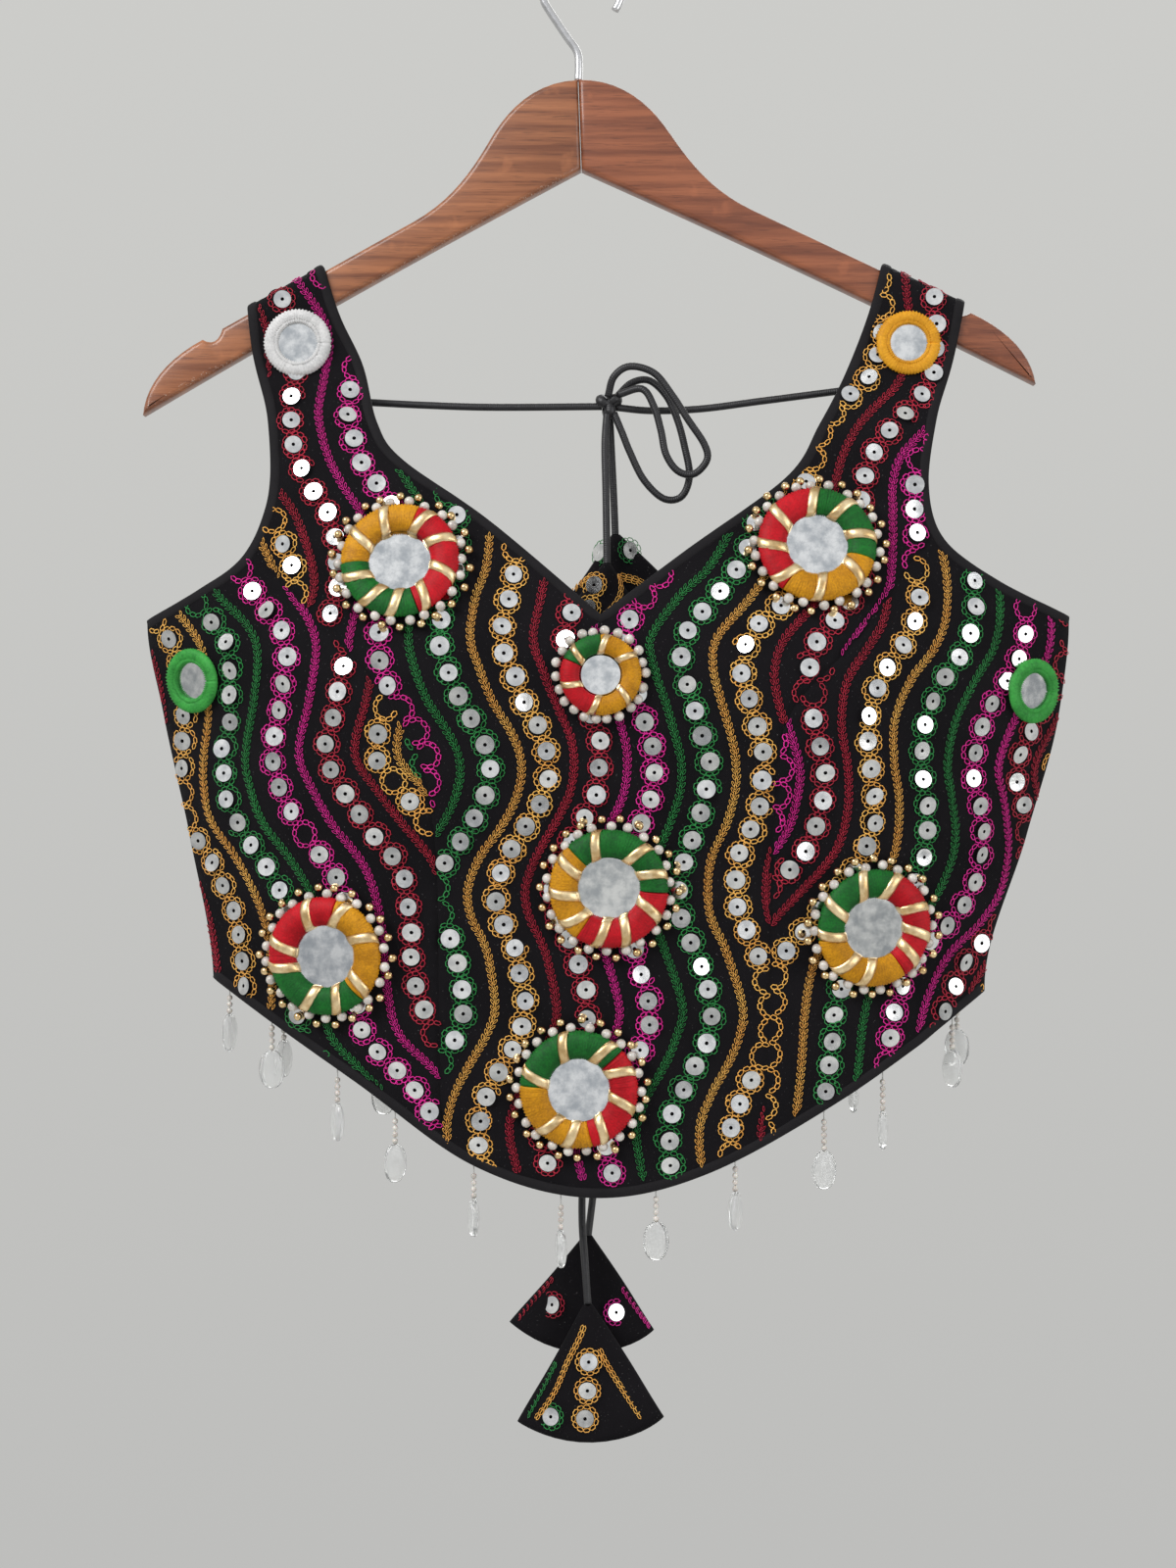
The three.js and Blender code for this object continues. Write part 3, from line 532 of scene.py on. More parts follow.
def cloth(face, x, t, off=0.0):
    """Points this far outside the cloth's middle, in metres, with the way out at each."""
    x, t = np.atleast_1d(np.asarray(x, float)), np.atleast_1d(np.asarray(t, float))
    normal = cloth_normal(face, x, t)
    lift = crease_lift(face, x, np.minimum(t, fold_start(x))) + off
    return (smooth_cloth(face, x, t) + normal * np.reshape(lift, (-1, 1))) * MM, normal


# The cutting lines of the pattern, each through a few points and smoothed.
CUT_STEP = 3.0
CUTS = {
    "front_neck_left": [(-131, SHOULDER_CUT), (-121, -182), (-109, -208), (-101, -238),
                        (-88, -257), (-45, -288), (CENTRE_X, -334)],
    "front_neck_right": [(CENTRE_X, -334), (50, -303), (100, -266), (117, -239),
                         (131, -212), (143, -181), (151, SHOULDER_CUT)],
    "front_arm_left": [(-167.5, SHOULDER_CUT), (-163, -199), (-154, -236), (-153, -276),
                       (-165, -304), (-188, -320), (-216, -334)],
    "front_arm_right": [(194, SHOULDER_CUT), (184, -202), (174, -235), (169, -270),
                        (176, -296), (204, -316), (242, -332)],
    "front_hem": [(-183, -511), (-110, -559), (-52, -600), (3, -615), (59, -604), (125, -569), (199, -518)],
    "seam_left": [(-164, -298), (-125, -338), (-84, -388), (-71, -438), (-69, -520), (-68, -612)],
    "seam_right": [(171, -292), (133, -344), (98, -385), (92, -440), (91, -520), (88, -612)],
    "back_neck_left": [(-134, SHOULDER_CUT), (-124, -190), (-113, -225), (-103, -264),
                       (-78, -310), (-35, -345), (CENTRE_X, -356)],
    "back_neck_right": [(CENTRE_X, -356), (54, -345), (98, -310), (124, -264),
                        (136, -222), (146, -187), (154, SHOULDER_CUT)],
    "back_arm_left": [(-166.5, SHOULDER_CUT), (-158, -200), (-148, -240), (-147, -280),
                      (-160, -308), (-186, -325), (-216, -334)],
    "back_arm_right": [(193, SHOULDER_CUT), (181, -202), (169, -240), (163, -276),
                       (172, -302), (202, -322), (242, -332)],
    "back_hem_left": [(-183, -511), (-110, -543), (-40, -564), (CENTRE_X, -569)],
    "back_hem_right": [(CENTRE_X, -569), (60, -563), (138, -545), (199, -518)],
}
LINES = {name: smooth_path(points, CUT_STEP) for name, points in CUTS.items()}


def shoulder_end(line):
    """Where a strap's edge meets its shoulder seam, across."""
    return line[np.argmin(np.abs(line[:, 1] - shoulder_seam(line[:, 0])))][0]


def over_shoulder(left, right):
    """The shoulder edge of a strap, from its left edge's line to its right one's."""
    x = np.linspace(shoulder_end(left), shoulder_end(right), 12)
    return np.stack([x, shoulder_seam(x)], axis=1)


def up_to_shoulder(start):
    """A strap's edge from the top of its cutting line on to the shoulder seam."""
    x = start[0]
    t = np.linspace(SHOULDER_CUT, float(shoulder_seam(np.array([x]))[0]), 14)[1:-1]
    return np.stack([np.full_like(t, x), t], axis=1)


def side_line(side, first, last):
    """A side seam from one level to another."""
    levels = np.linspace(first, last, 60)
    return np.stack([side(levels), levels], axis=1)


def opening_edge(side, first, last):
    """One edge of the opening down the middle of the back, from one level to another."""
    return np.stack([np.full(60, CENTRE_X + side * HALF_OPENING), np.linspace(first, last, 60)], axis=1)


def princess_seam(seam, arm, hem_line, arm_meets, hem_meets):
    """A princess seam, run in to the armhole and the hem where it meets them."""
    foot = hem_line[hem_meets]
    return np.vstack([arm[arm_meets], seam[1:][seam[1:, 1] > foot[1] + CUT_STEP / 2], foot])


HALF_OPENING = 0.75
OPENING_TOP, OPENING_FOOT = -356, -568.9
# Where the side seams start and end, in the order in which the outlines run round.
LEFT_SIDE_ENDS, RIGHT_SIDE_ENDS = (-511, -334), (-332, -518)
neck_l, neck_r = LINES["front_neck_left"], LINES["front_neck_right"]
back_neck_l, back_neck_r = LINES["back_neck_left"], LINES["back_neck_right"]
back_arm_l, back_arm_r = LINES["back_arm_left"], LINES["back_arm_right"]
back_hem_l, back_hem_r = LINES["back_hem_left"], LINES["back_hem_right"]
arm_l, arm_r = LINES["front_arm_left"], LINES["front_arm_right"]
seam_l, seam_r = LINES["seam_left"], LINES["seam_right"]
hem = LINES["front_hem"]
arm_l_meets = np.argmin(np.linalg.norm(arm_l - seam_l[0], axis=1))
arm_r_meets = np.argmin(np.linalg.norm(arm_r - seam_r[0], axis=1))
hem_l_meets = np.argmin(np.abs(hem[:, 0] - seam_l[-1][0]))
hem_r_meets = np.argmin(np.abs(hem[:, 0] - seam_r[-1][0]))
seam_l = princess_seam(seam_l, arm_l, hem, arm_l_meets, hem_l_meets)
seam_r = princess_seam(seam_r, arm_r, hem, arm_r_meets, hem_r_meets)

# Each panel's side of the garment and its outline: stretches bound with bias or sewn.
OUTLINES = {
    "front_centre": (FRONT, [
        ("bound", neck_l), ("bound", neck_r[1:]), ("bound", up_to_shoulder(neck_r[-1])),
        ("seam", over_shoulder(neck_r, arm_r)), ("bound", up_to_shoulder(arm_r[0])[::-1]),
        ("bound", arm_r[:arm_r_meets]), ("seam", seam_r),
        ("bound", hem[hem_l_meets + 1:hem_r_meets][::-1]),
        ("seam", seam_l[::-1]), ("bound", arm_l[:arm_l_meets][::-1]), ("bound", up_to_shoulder(arm_l[0])),
        ("seam", over_shoulder(arm_l, neck_l)), ("bound", up_to_shoulder(neck_l[0])[::-1])]),
    "front_side_left": (FRONT, [
        ("bound", arm_l[arm_l_meets:-1][::-1]), ("seam", seam_l[1:]),
        ("bound", hem[1:hem_l_meets][::-1]), ("seam", side_line(left_side, *LEFT_SIDE_ENDS))]),
    "front_side_right": (FRONT, [
        ("bound", arm_r[arm_r_meets:-1]), ("seam", side_line(right_side, *RIGHT_SIDE_ENDS)),
        ("bound", hem[hem_r_meets + 1:-1][::-1]), ("seam", seam_r[1:][::-1])]),
    "back_left": (BACK, [
        ("bound", back_neck_l[:-1]), ("bound", opening_edge(-1, OPENING_TOP, OPENING_FOOT)),
        ("bound", back_hem_l[1:-1][::-1]), ("seam", side_line(left_side, *LEFT_SIDE_ENDS)),
        ("bound", back_arm_l[:-1][::-1]), ("bound", up_to_shoulder(back_arm_l[0])),
        ("seam", over_shoulder(back_arm_l, back_neck_l)),
        ("bound", up_to_shoulder(back_neck_l[0])[::-1])]),
    "back_right": (BACK, [
        ("bound", back_neck_r[1:]), ("bound", up_to_shoulder(back_neck_r[-1])),
        ("seam", over_shoulder(back_neck_r, back_arm_r)), ("bound", up_to_shoulder(back_arm_r[0])[::-1]),
        ("bound", back_arm_r[:-1]), ("seam", side_line(right_side, *RIGHT_SIDE_ENDS)),
        ("bound", back_hem_r[1:-1][::-1]), ("bound", opening_edge(1, OPENING_FOOT, OPENING_TOP))]),
}

# Nothing of a panel runs on past its shoulder seam.
for name, (face, lines) in OUTLINES.items():
    lines = [(kind, line[line[:, 1] < shoulder_seam(line[:, 0]) + 0.01]) for kind, line in lines]
    OUTLINES[name] = (face, [(kind, line) for kind, line in lines if len(line)])


def outline_of(name):
    return np.vstack([line for _, line in OUTLINES[name][1]])


def inside(outline, points):
    """Which of the points lie inside a closed outline."""
    x, y = points[:, 0][:, None], points[:, 1][:, None]
    ax, ay = outline[:, 0], outline[:, 1]
    bx, by = np.roll(ax, -1), np.roll(ay, -1)
    crosses = (ay > y) != (by > y)
    with np.errstate(divide="ignore", invalid="ignore"):
        at = ax + (y - ay) / (by - ay) * (bx - ax)
    return (crosses & (x < at)).sum(axis=1) % 2 == 1


def room(points, line):
    """How far each point is from the nearest place on an open line."""
    nearest = np.full(len(points), 1e9)
    for start, end in zip(line[:-1], line[1:]):
        way = end - start
        share = np.clip(((points - start) @ way) / max(way @ way, 1e-9), 0, 1)
        nearest = np.minimum(nearest, np.linalg.norm(points - start - share[:, None] * way, axis=1))
    return nearest


CLOTH_STEP = 4.5


def panel_mesh(name):
    """A cut piece of cloth on the garment's form, with its place on the pattern kept as UV."""
    face, _ = OUTLINES[name]
    outline = outline_of(name)
    low, high = outline.min(axis=0), outline.max(axis=0)
    grid = np.array([(x + (row % 2) * CLOTH_STEP / 2, z)
                     for row, z in enumerate(np.arange(low[1], high[1], CLOTH_STEP * 0.87))
                     for x in np.arange(low[0], high[0], CLOTH_STEP)])
    grid = grid[inside(outline, grid)]
    closed = np.vstack([outline, outline[:1]])
    grid = grid[room(grid, closed) > CLOTH_STEP * 0.45]
    count = len(outline)
    edges = [(index, (index + 1) % count) for index in range(count)]
    places = [Vector(point) for point in np.vstack([outline, grid])]
    flat, _, faces, *_ = delaunay_2d_cdt(places, edges, [], 1, 1e-4)
    flat = np.array([tuple(point) for point in flat])
    middle, normal = cloth(face, flat[:, 0], flat[:, 1])
    verts = np.vstack([middle + normal * WALL / 2, middle - normal * WALL / 2])
    size = len(flat)
    skin, used = [], {}
    for a, b, c in faces:
        way_out = np.cross(middle[b] - middle[a], middle[c] - middle[a]) @ normal[a]
        turn = (a, b, c) if way_out > 0 else (a, c, b)
        skin.append(turn)
        skin.append(tuple(index + size for index in turn[::-1]))
        for start, end in zip(turn, turn[1:] + turn[:1]):
            used[(start, end)] = True
    for start, end in used:
        if (end, start) not in used:
            skin.append((end, start, start + size, end + size))
    mesh = bpy.data.meshes.new(name)
    mesh.from_pydata([tuple(v) for v in verts], [], skin)
    uv = mesh.uv_layers.new(name="pattern")
    index = np.empty(len(mesh.loops), dtype=np.int32)
    mesh.loops.foreach_get("vertex_index", index)
    uv.data.foreach_set("uv", (flat[index % size] * MM).ravel())
    mesh.shade_smooth()
    return mesh


def cloth_finish(name, warm):
    """Black twill: fine slanting ribs, a soft nap and a little lint."""
    finish = Finish(name, Sheen_Weight=0.015, Sheen_Roughness=0.5, Specular_IOR_Level=0.1)
    u, v, _ = finish.parts(finish.uv)
    ribs = finish.tools.maths("SINE", (u + v) * (2 * math.pi / (0.9 * MM))) * 0.5 + 0.5
    cross = finish.tools.maths("SINE", (u - v * 0.6) * (2 * math.pi / (0.55 * MM))) * 0.5 + 0.5
    weave = ribs * (0.5 + cross * 0.5)
    worn = finish.noise(finish.object, 26, 4, 0.6)
    lint = finish.noise(finish.object, 1300, 1, 0.4).step(0.72, 0.8)
    dyed = worn.step(0.3, 0.7).tint((0.0035, 0.003, 0.004), warm)
    dyed = (weave * 0.3).tint(dyed, (0.012, 0.011, 0.013))
    finish.bump(weave + finish.noise(finish.object, 240, 3) * 0.8, 0.0003, 0.55)
    return finish.set(Base_Color=(lint * 0.35).tint(dyed, (0.2, 0.19, 0.19)), Roughness=0.88 - worn * 0.12)


black_twill = cloth_finish("black twill", (0.006, 0.005, 0.0065))
panels = {name: add_piece(name, panel_mesh(name), black_twill, "cloth", [name]) for name in OUTLINES}


# ---------------------------------------------------------------------------
# The bindings: bias strips of the same black cotton, folded over the neckline, the
# armholes, the hem and the centre-back edges, and stitched down by machine.

BINDING_WIDE, BINDING_THICK = 5.2, 3.3
BINDING_OVER = 0.7
BINDING_SIDES = 12


def binding_mesh(name, face, line):
    """A folded strip along an edge of the pattern, closed round the cloth's edge."""
    line = np.asarray(line, float)
    line = line[line[:, 1] < shoulder_seam(line[:, 0]) + 0.01]
    rise = np.linalg.norm(np.diff(line, axis=0), axis=1)
    line = line[np.concatenate([[True], rise > 1e-6])]
    ahead = np.gradient(line, axis=0)
    ahead /= np.linalg.norm(ahead, axis=1)[:, None]
    inward = np.stack([ahead[:, 1], -ahead[:, 0]], axis=1)
    panel = outline_of(name)
    middle = len(line) // 2
    if not inside(panel, (line + inward * 2.5)[middle:middle + 1])[0]:
        inward = -inward
    distance = np.concatenate([[0], np.cumsum(np.linalg.norm(np.diff(line, axis=0), axis=1))])
    pucker = 1 + 0.1 * np.sin(distance / 3.1) * np.sin(distance / 11 + 1)
    middle_at = BINDING_WIDE / 2 - BINDING_OVER
    rows = np.empty((len(line), BINDING_SIDES, 3))
    for side in range(BINDING_SIDES):
        turn = side / BINDING_SIDES * 2 * math.pi
        cos, sin = math.cos(turn), math.sin(turn)
        wide = middle_at + BINDING_WIDE / 2 * math.copysign(abs(cos) ** 0.7, cos)
        off = BINDING_THICK / 2 * math.copysign(abs(sin) ** 0.8, sin) * pucker
        place = line + inward * wide
        rows[:, side], _ = cloth(face, place[:, 0], place[:, 1], off)
    return grid_mesh("binding", list(rows))


def binding_finish():
    finish = Finish("black bias binding", Sheen_Weight=0.03, Sheen_Roughness=0.45, Specular_IOR_Level=0.2)
    worn = finish.noise(finish.object, 90, 4, 0.6)
    thread = finish.noise(finish.spread(finish.object, (0.0006, 0.0006, 0.0004)), 1, 2)
    finish.bump(thread + worn, 0.0003, 0.6)
    return finish.set(Base_Color=worn.tint((0.004, 0.0035, 0.0045), (0.012, 0.0105, 0.0125)),
                      Roughness=0.7 + thread * 0.15)


bias = binding_finish()
BINDINGS = {
    "binding_neck_front": ("front_centre", FRONT, [
        up_to_shoulder(neck_l[0])[::-1], neck_l, neck_r[1:], up_to_shoulder(neck_r[-1])]),
    "binding_armhole_front_left": ("front_centre", FRONT, [up_to_shoulder(arm_l[0])[::-1], arm_l]),
    "binding_armhole_front_right": ("front_centre", FRONT, [up_to_shoulder(arm_r[0])[::-1], arm_r]),
    "binding_hem_front": ("front_centre", FRONT, [hem]),
    "binding_armhole_back_left": ("back_left", BACK, [up_to_shoulder(back_arm_l[0])[::-1], back_arm_l]),
    "binding_armhole_back_right": ("back_right", BACK, [up_to_shoulder(back_arm_r[0])[::-1], back_arm_r]),
    "binding_back_left": ("back_left", BACK, [
        up_to_shoulder(back_neck_l[0])[::-1], back_neck_l[:-3],
        opening_edge(-1, OPENING_TOP, OPENING_FOOT)[2:], back_hem_l[:-2][::-1]]),
    "binding_back_right": ("back_right", BACK, [
        up_to_shoulder(back_neck_r[-1])[::-1], back_neck_r[::-1][:-3],
        opening_edge(1, OPENING_FOOT, OPENING_TOP)[::-1][2:], back_hem_r[1:]]),
}
for name, (panel, face, lines) in BINDINGS.items():
    add_piece(name, binding_mesh(panel, face, np.vstack(lines)), bias, "binding", [name])


# ---------------------------------------------------------------------------
# The embroidery: wavy rows down the cloth, worked with a hook in rayon thread. A braid
# of three chains lies between rows of touching rings, in red, pink, green and yellow.

RINGS, BRAID = "rings", "braid"
RED, PINK, GREEN, YELLOW = "red", "pink", "green", "yellow"
# Each field gives, at each level, the places across of its anchor rows. The rows between
# them are spaced evenly, and those beyond the last ones go on at OUTER_ROWS of that spacing.
FIELDS = {
    "front_centre": {
        "rows": range(-11, 12), "odd": BRAID, "order": [RED, PINK, GREEN, YELLOW], "shift": 1,
        "anchors": [-9, -6, -3, 0, 3, 6, 9],
        "levels": [
            (-150, -172, -130, -92, -40, 60, 147, 185), (-165, -168, -127, -90, -40, 60, 147, 186),
            (-190, -156, -111, -82, -36, 62, 149, 188), (-215, -156, -113, -76, -30, 66, 141, 190),
            (-230, -158, -115, -72, -26, 70, 126, 180), (-240, -157, -114, -69, -24, 72, 118, 170),
            (-255, -154, -109, -60, -20, 74, 113, 156), (-270, -149, -100, -52, -15, 76, 109, 151.5),
            (-285, -139, -91, -45, -10, 75, 106, 151), (-310, -130, -90, -46, -4, 62, 104, 149.5),
            (-325, -130, -95, -51, -4, 47, 99, 146), (-345, -139, -97.4, -53.5, -8.4, 33.3, 81, 131),
            (-360, -140, -95, -49, -4, 35, 77, 122), (-375, -133, -89, -43, 2, 40, 80, 121),
            (-392, -124, -78, -33, 8, 45, 85, 126), (-405, -119, -73, -29, 9, 47.9, 87, 130),
            (-420, -122, -75, -31, 6.5, 47, 86.5, 130), (-435, -128, -82, -38.5, -1, 42, 82.8, 126),
            (-450, -139, -93, -49, -8.5, 36, 76, 120), (-466, -146, -99, -55, -13.5, 33, 74.6, 117),
            (-480, -144, -97, -53, -11, 34.5, 76.5, 119), (-495, -137, -91, -46, -4, 40, 84, 126),
            (-522, -132, -86, -42, 2.7, 48.6, 92, 136), (-536, -136, -90, -46, 1, 46, 91.5, 135),
            (-550, -144, -98, -54, -6, 40.5, 86, 130), (-567, -152, -106, -62.5, -15, 31, 77, 121),
            (-583, -155, -109, -65.5, -20, 26.3, 72, 116), (-606, -153, -107, -63, -14, 29.7, 73, 117)]},
    "front_side_left": {
        "rows": range(-3, 10), "odd": RINGS, "order": [RED, PINK, GREEN, YELLOW], "shift": 0,
        "anchors": [0, 4, 8],
        "levels": [
            (-298, -116, -192, -246), (-322, -104, -178, -236), (-336, -99, -164, -224),
            (-350, -98, -157, -214), (-375, -103, -159, -208), (-400, -108.7, -164, -207),
            (-418, -98, -161, -209), (-434, -86, -155, -208), (-455, -70.5, -139, -195),
            (-480, -68.5, -126, -185), (-510, -67, -122, -180), (-535, -55, -123, -181),
            (-553, -36, -108, -176), (-571, -24, -92, -165), (-612, -14, -78, -150)]},
    "front_side_right": {
        "rows": range(-1, 12), "odd": RINGS, "order": [PINK, RED, YELLOW, GREEN], "shift": 1,
        "anchors": [0, 4, 8],
        "levels": [
            (-292, 112, 173, 228), (-315, 117, 177, 230), (-335, 115, 176, 231.5),
            (-350, 104, 169.7, 230), (-365, 96, 158, 223), (-385, 98, 150, 211.5),
            (-405, 104, 150.3, 204), (-420, 103.5, 152.8, 206), (-437, 99, 153, 209.7),
            (-452, 88, 150, 210.2), (-470, 66, 139, 206), (-485, 52, 126, 195),
            (-500, 44, 113, 179), (-525, 42, 108, 167), (-555, 42, 106, 162), (-612, 40, 100, 156)]},
    "back_left": {
        "rows": range(-12, 1), "odd": BRAID, "order": [RED, PINK, GREEN, YELLOW], "shift": 1,
        "anchors": [-12, -6, 0],
        "levels": [
            (-150, -215, -134, -60), (-180, -203, -124, -50), (-212, -208, -127, -44),
            (-245, -197, -116, -28), (-275, -202, -118, -16), (-305, -196, -106, -8),
            (-338, -196, -104, -14), (-368, -182, -90, 2),
            (-400, -182, -92, 6), (-430, -196, -104, -6), (-462, -200, -108, -10), (-492, -186, -94, 4),
            (-522, -184, -92, 8), (-552, -196, -104, -4), (-580, -200, -108, -8)]},
    "back_right": {
        "rows": range(0, 14), "odd": BRAID, "order": [RED, PINK, GREEN, YELLOW], "shift": 1,
        "anchors": [0, 6, 13],
        "levels": [
            (-150, 78, 154, 238), (-180, 70, 146, 230), (-212, 62, 150, 234), (-245, 46, 138, 222),
            (-275, 34, 136, 226), (-305, 24, 124, 218), (-338, 14, 112, 218), (-368, 22, 116, 214),
            (-400, 28, 118, 218), (-430, 18, 108, 212), (-462, 10, 100, 202), (-492, 20, 110, 206),
            (-522, 28, 118, 212), (-552, 18, 108, 204), (-580, 12, 102, 198)]},
}
# The share of rings that are worked open, and of rings that still have their sequin.
OPEN_RINGS, SEQUINED = 0.06, 0.955
RING_PITCH, RING_RADIUS, RING_LINKS = 12.8, 5.7, 11
LINK_LONG, LINK_WIDE, LINK_THREAD = 3.5, 1.95, 0.27
BRAID_LINK, BRAID_PITCH, BRAID_APART = (2.9, 0.95), 3.1, 1.25
THREAD_OFF = WALL / MM / 2 + 0.35
# How far the work keeps from a seam and from a bound edge; a ring runs closer to the edge.
SEAM_ROOM, EDGE_ROOM, RING_EDGE_ROOM = 0.9, 4.9, 2.8
SEQUIN_ROOM = (4.2, 5.8)
OUTER_ROWS = 0.74
ROSETTES = {
    "rosette_bust_left": (-87, -309, 1), "rosette_bust_right": (113, -301, 1),
    "rosette_centre_small": (9, -363, 0.68), "rosette_middle": (13, -465, 1),
    "rosette_side_left": (-123, -498, 1), "rosette_side_right": (140, -484, 1),
    "rosette_hem": (-1, -562, 1),
}
BUTTONS = {
    "mirror_button_strap_left": (-140.5, -197, 1), "mirror_button_strap_right": (161.5, -197, 0.95),
    "mirror_button_side_left": (-190, -364, 0.95), "mirror_button_side_right": (221, -369, 0.95),
}
COVERED = [(x, z, 25 * size) for x, z, size in ROSETTES.values()]
COVERED += [(x, z, 14 * size) for x, z, size in BUTTONS.values()]
dice = np.random.default_rng(41)


def row_path(field, row, low, high):
    """The smooth line of one row over the panel's levels."""
    anchors = np.array(field["anchors"], float)
    levels = np.array([level[0] for level in field["levels"]], float)
    places = []
    for _, *across in field["levels"]:
        across = np.array(across, float)
        if anchors[0] <= row <= anchors[-1]:
            places.append(np.interp(row, anchors, across))
            continue
        last, before = (0, 1) if row < anchors[0] else (-1, -2)
        spread = (across[before] - across[last]) / (anchors[before] - anchors[last])
        places.append(across[last] + (row - anchors[last]) * OUTER_ROWS * spread)
    path = smooth_path(np.stack([np.array(places), levels], axis=1), 1.0)
    if high > levels[0]:
        top = np.arange(levels[0] + 1, high, 1.0)[::-1]
        path = np.vstack([np.stack([np.full_like(top, path[0][0]), top], axis=1), path])
    return path[(path[:, 1] > low) & (path[:, 1] < high)]


def stepped(path, step, start=0.0):
    """Places and directions every step along a path."""
    along = np.concatenate([[0], np.cumsum(np.linalg.norm(np.diff(path, axis=0), axis=1))])
    at = np.arange(start, along[-1], step)
    place = np.stack([np.interp(at, along, path[:, axis]) for axis in (0, 1)], axis=1)
    ahead = np.gradient(path, axis=0)
    way = np.stack([np.interp(at, along, ahead[:, axis]) for axis in (0, 1)], axis=1)
    return place, way / np.linalg.norm(way, axis=1)[:, None]


def clear(name, points, seam_room, edge_room):
    """Which places on the cloth are far enough from its edges, and not under a rosette."""
    keep = inside(outline_of(name), points)
    for kind, line in OUTLINES[name][1]:
        near = room(points, line)
        keep &= near > (edge_room if kind == "bound" else seam_room)
    if OUTLINES[name][0] == FRONT:
        for x, z, reach in COVERED:
            keep &= np.linalg.norm(points - (x, z), axis=1) > reach
    return keep


links = {}
sequins = {FRONT: [], BACK: []}


def keep_links(name, colour, points, ways, sizes, off=THREAD_OFF, edge_room=EDGE_ROOM):
    """Adds to the panel's links those that lie clear of its edges and rosettes."""
    keep = clear(name, points, SEAM_ROOM, edge_room)
    if not keep.any():
        return
    points, ways, sizes = points[keep], ways[keep], sizes[keep]
    face = OUTLINES[name][0]
    place, up = cloth(face, points[:, 0], points[:, 1], off)
    ahead, _ = cloth(face, points[:, 0] + ways[:, 0] * 0.4, points[:, 1] + ways[:, 1] * 0.4, off)
    links.setdefault((face, colour), []).append(np.hstack([place, ahead - place, up, sizes]))


def work_braid(name, colour, path):
    """Three chains side by side, the middle one half a link behind its neighbours."""
    for chain in (-1, 0, 1):
        place, way = stepped(path, BRAID_PITCH, 0.5 * BRAID_PITCH * (chain == 0))
        across = np.stack([-way[:, 1], way[:, 0]], axis=1)
        wander = dice.normal(0, 0.09, (len(place), 1))
        points = place + across * (chain * BRAID_APART + wander)
        lean = way - across * chain * 0.5
        size = np.stack([BRAID_LINK[0] / LINK_LONG * dice.uniform(0.92, 1.12, len(place)),
                         BRAID_LINK[1] / LINK_WIDE * dice.uniform(0.9, 1.12, len(place)),
                         np.full(len(place), 1.0)], axis=1)
        keep_links(name, colour, points, lean, size, THREAD_OFF + 0.18 * (chain == 0))


def work_rings(name, colour, path):
    """Touching rings of chain down the row, a few of them worked open, each round a sequin."""
    centres, ways = stepped(path, RING_PITCH, dice.uniform(0, RING_PITCH))
    for centre, way in zip(centres, ways):
        start = math.atan2(way[1], way[0])
        squash = dice.uniform(0.9, 1.05)
        uneven = dice.uniform(-0.15, 0.15, RING_LINKS)
        turns = start + (np.arange(RING_LINKS) + uneven) * 2 * math.pi / RING_LINKS
        wander = RING_RADIUS * dice.uniform(0.95, 1.05, RING_LINKS)
        points = centre + np.stack([np.cos(turns) * wander * squash, np.sin(turns) * wander], axis=1)
        along = np.stack([-np.sin(turns), np.cos(turns)], axis=1)
        size = np.stack([np.full(RING_LINKS, 1.04), dice.uniform(0.9, 1.15, RING_LINKS),
                         np.ones(RING_LINKS)], axis=1)
        worked = np.full(RING_LINKS, True)
        if dice.random() < OPEN_RINGS:
            worked[dice.integers(0, RING_LINKS):][:3] = False
        keep_links(name, colour, points[worked], along[worked], size[worked], edge_room=RING_EDGE_ROOM)
        if dice.random() < SEQUINED and clear(name, centre[None], *SEQUIN_ROOM)[0]:
            face = OUTLINES[name][0]
            shift = centre + dice.normal(0, 0.5, 2)
            place, up = cloth(face, shift[:1], shift[1:], THREAD_OFF + 1.05)
            tip = dice.normal(0, 0.17, 3)
            lean = up[0] + tip / max(np.linalg.norm(tip) / 0.32, 1)
            lean /= np.linalg.norm(lean)
            spin = np.cross(lean, dice.normal(0, 1, 3))
            wide = np.full(3, dice.uniform(0.96, 1.06))
            sequins[face].append(np.concatenate([place[0], spin, lean, wide]))


for name, field in FIELDS.items():
    outline = outline_of(name)
    low, high = outline[:, 1].min(), outline[:, 1].max()
    for row in field["rows"]:
        colour = field["order"][(row + field["shift"]) // 2 % 4]
        kind = field["odd"] if row % 2 else (RINGS if field["odd"] == BRAID else BRAID)
        path = row_path(field, row, low - 8, high + 2)
        if kind == BRAID:
            work_braid(name, colour, path)
        else:
            work_rings(name, colour, path)


def stitch_link():
    """One chain link: a leaf-shaped loop of thread, lying along X with Z up."""
    turns = np.arange(6) / 6 * 2 * math.pi
    x = np.cos(turns) * LINK_LONG / 2
    y = np.sin(turns) * LINK_WIDE / 2 * 1.1
    rows = []
    for index in range(6):
        out = np.array([math.cos(turns[index]) * 0.6, math.sin(turns[index]), 0])
        out /= np.linalg.norm(out)
        centre = np.array([x[index], y[index], 0.1 * math.cos(2 * turns[index])])
        rows.append([centre + LINK_THREAD * (math.cos(angle) * out + math.sin(angle) * np.array([0, 0, 1]))
                     for angle in (0.5, 2.6, 4.7)])
    verts = np.array(rows).reshape(-1, 3) * MM
    faces = [(row * 3 + side, row * 3 + (side + 1) % 3,
              (row + 1) % 6 * 3 + (side + 1) % 3, (row + 1) % 6 * 3 + side)
             for row in range(6) for side in range(3)]
    return skin_mesh("chain link", verts, faces)


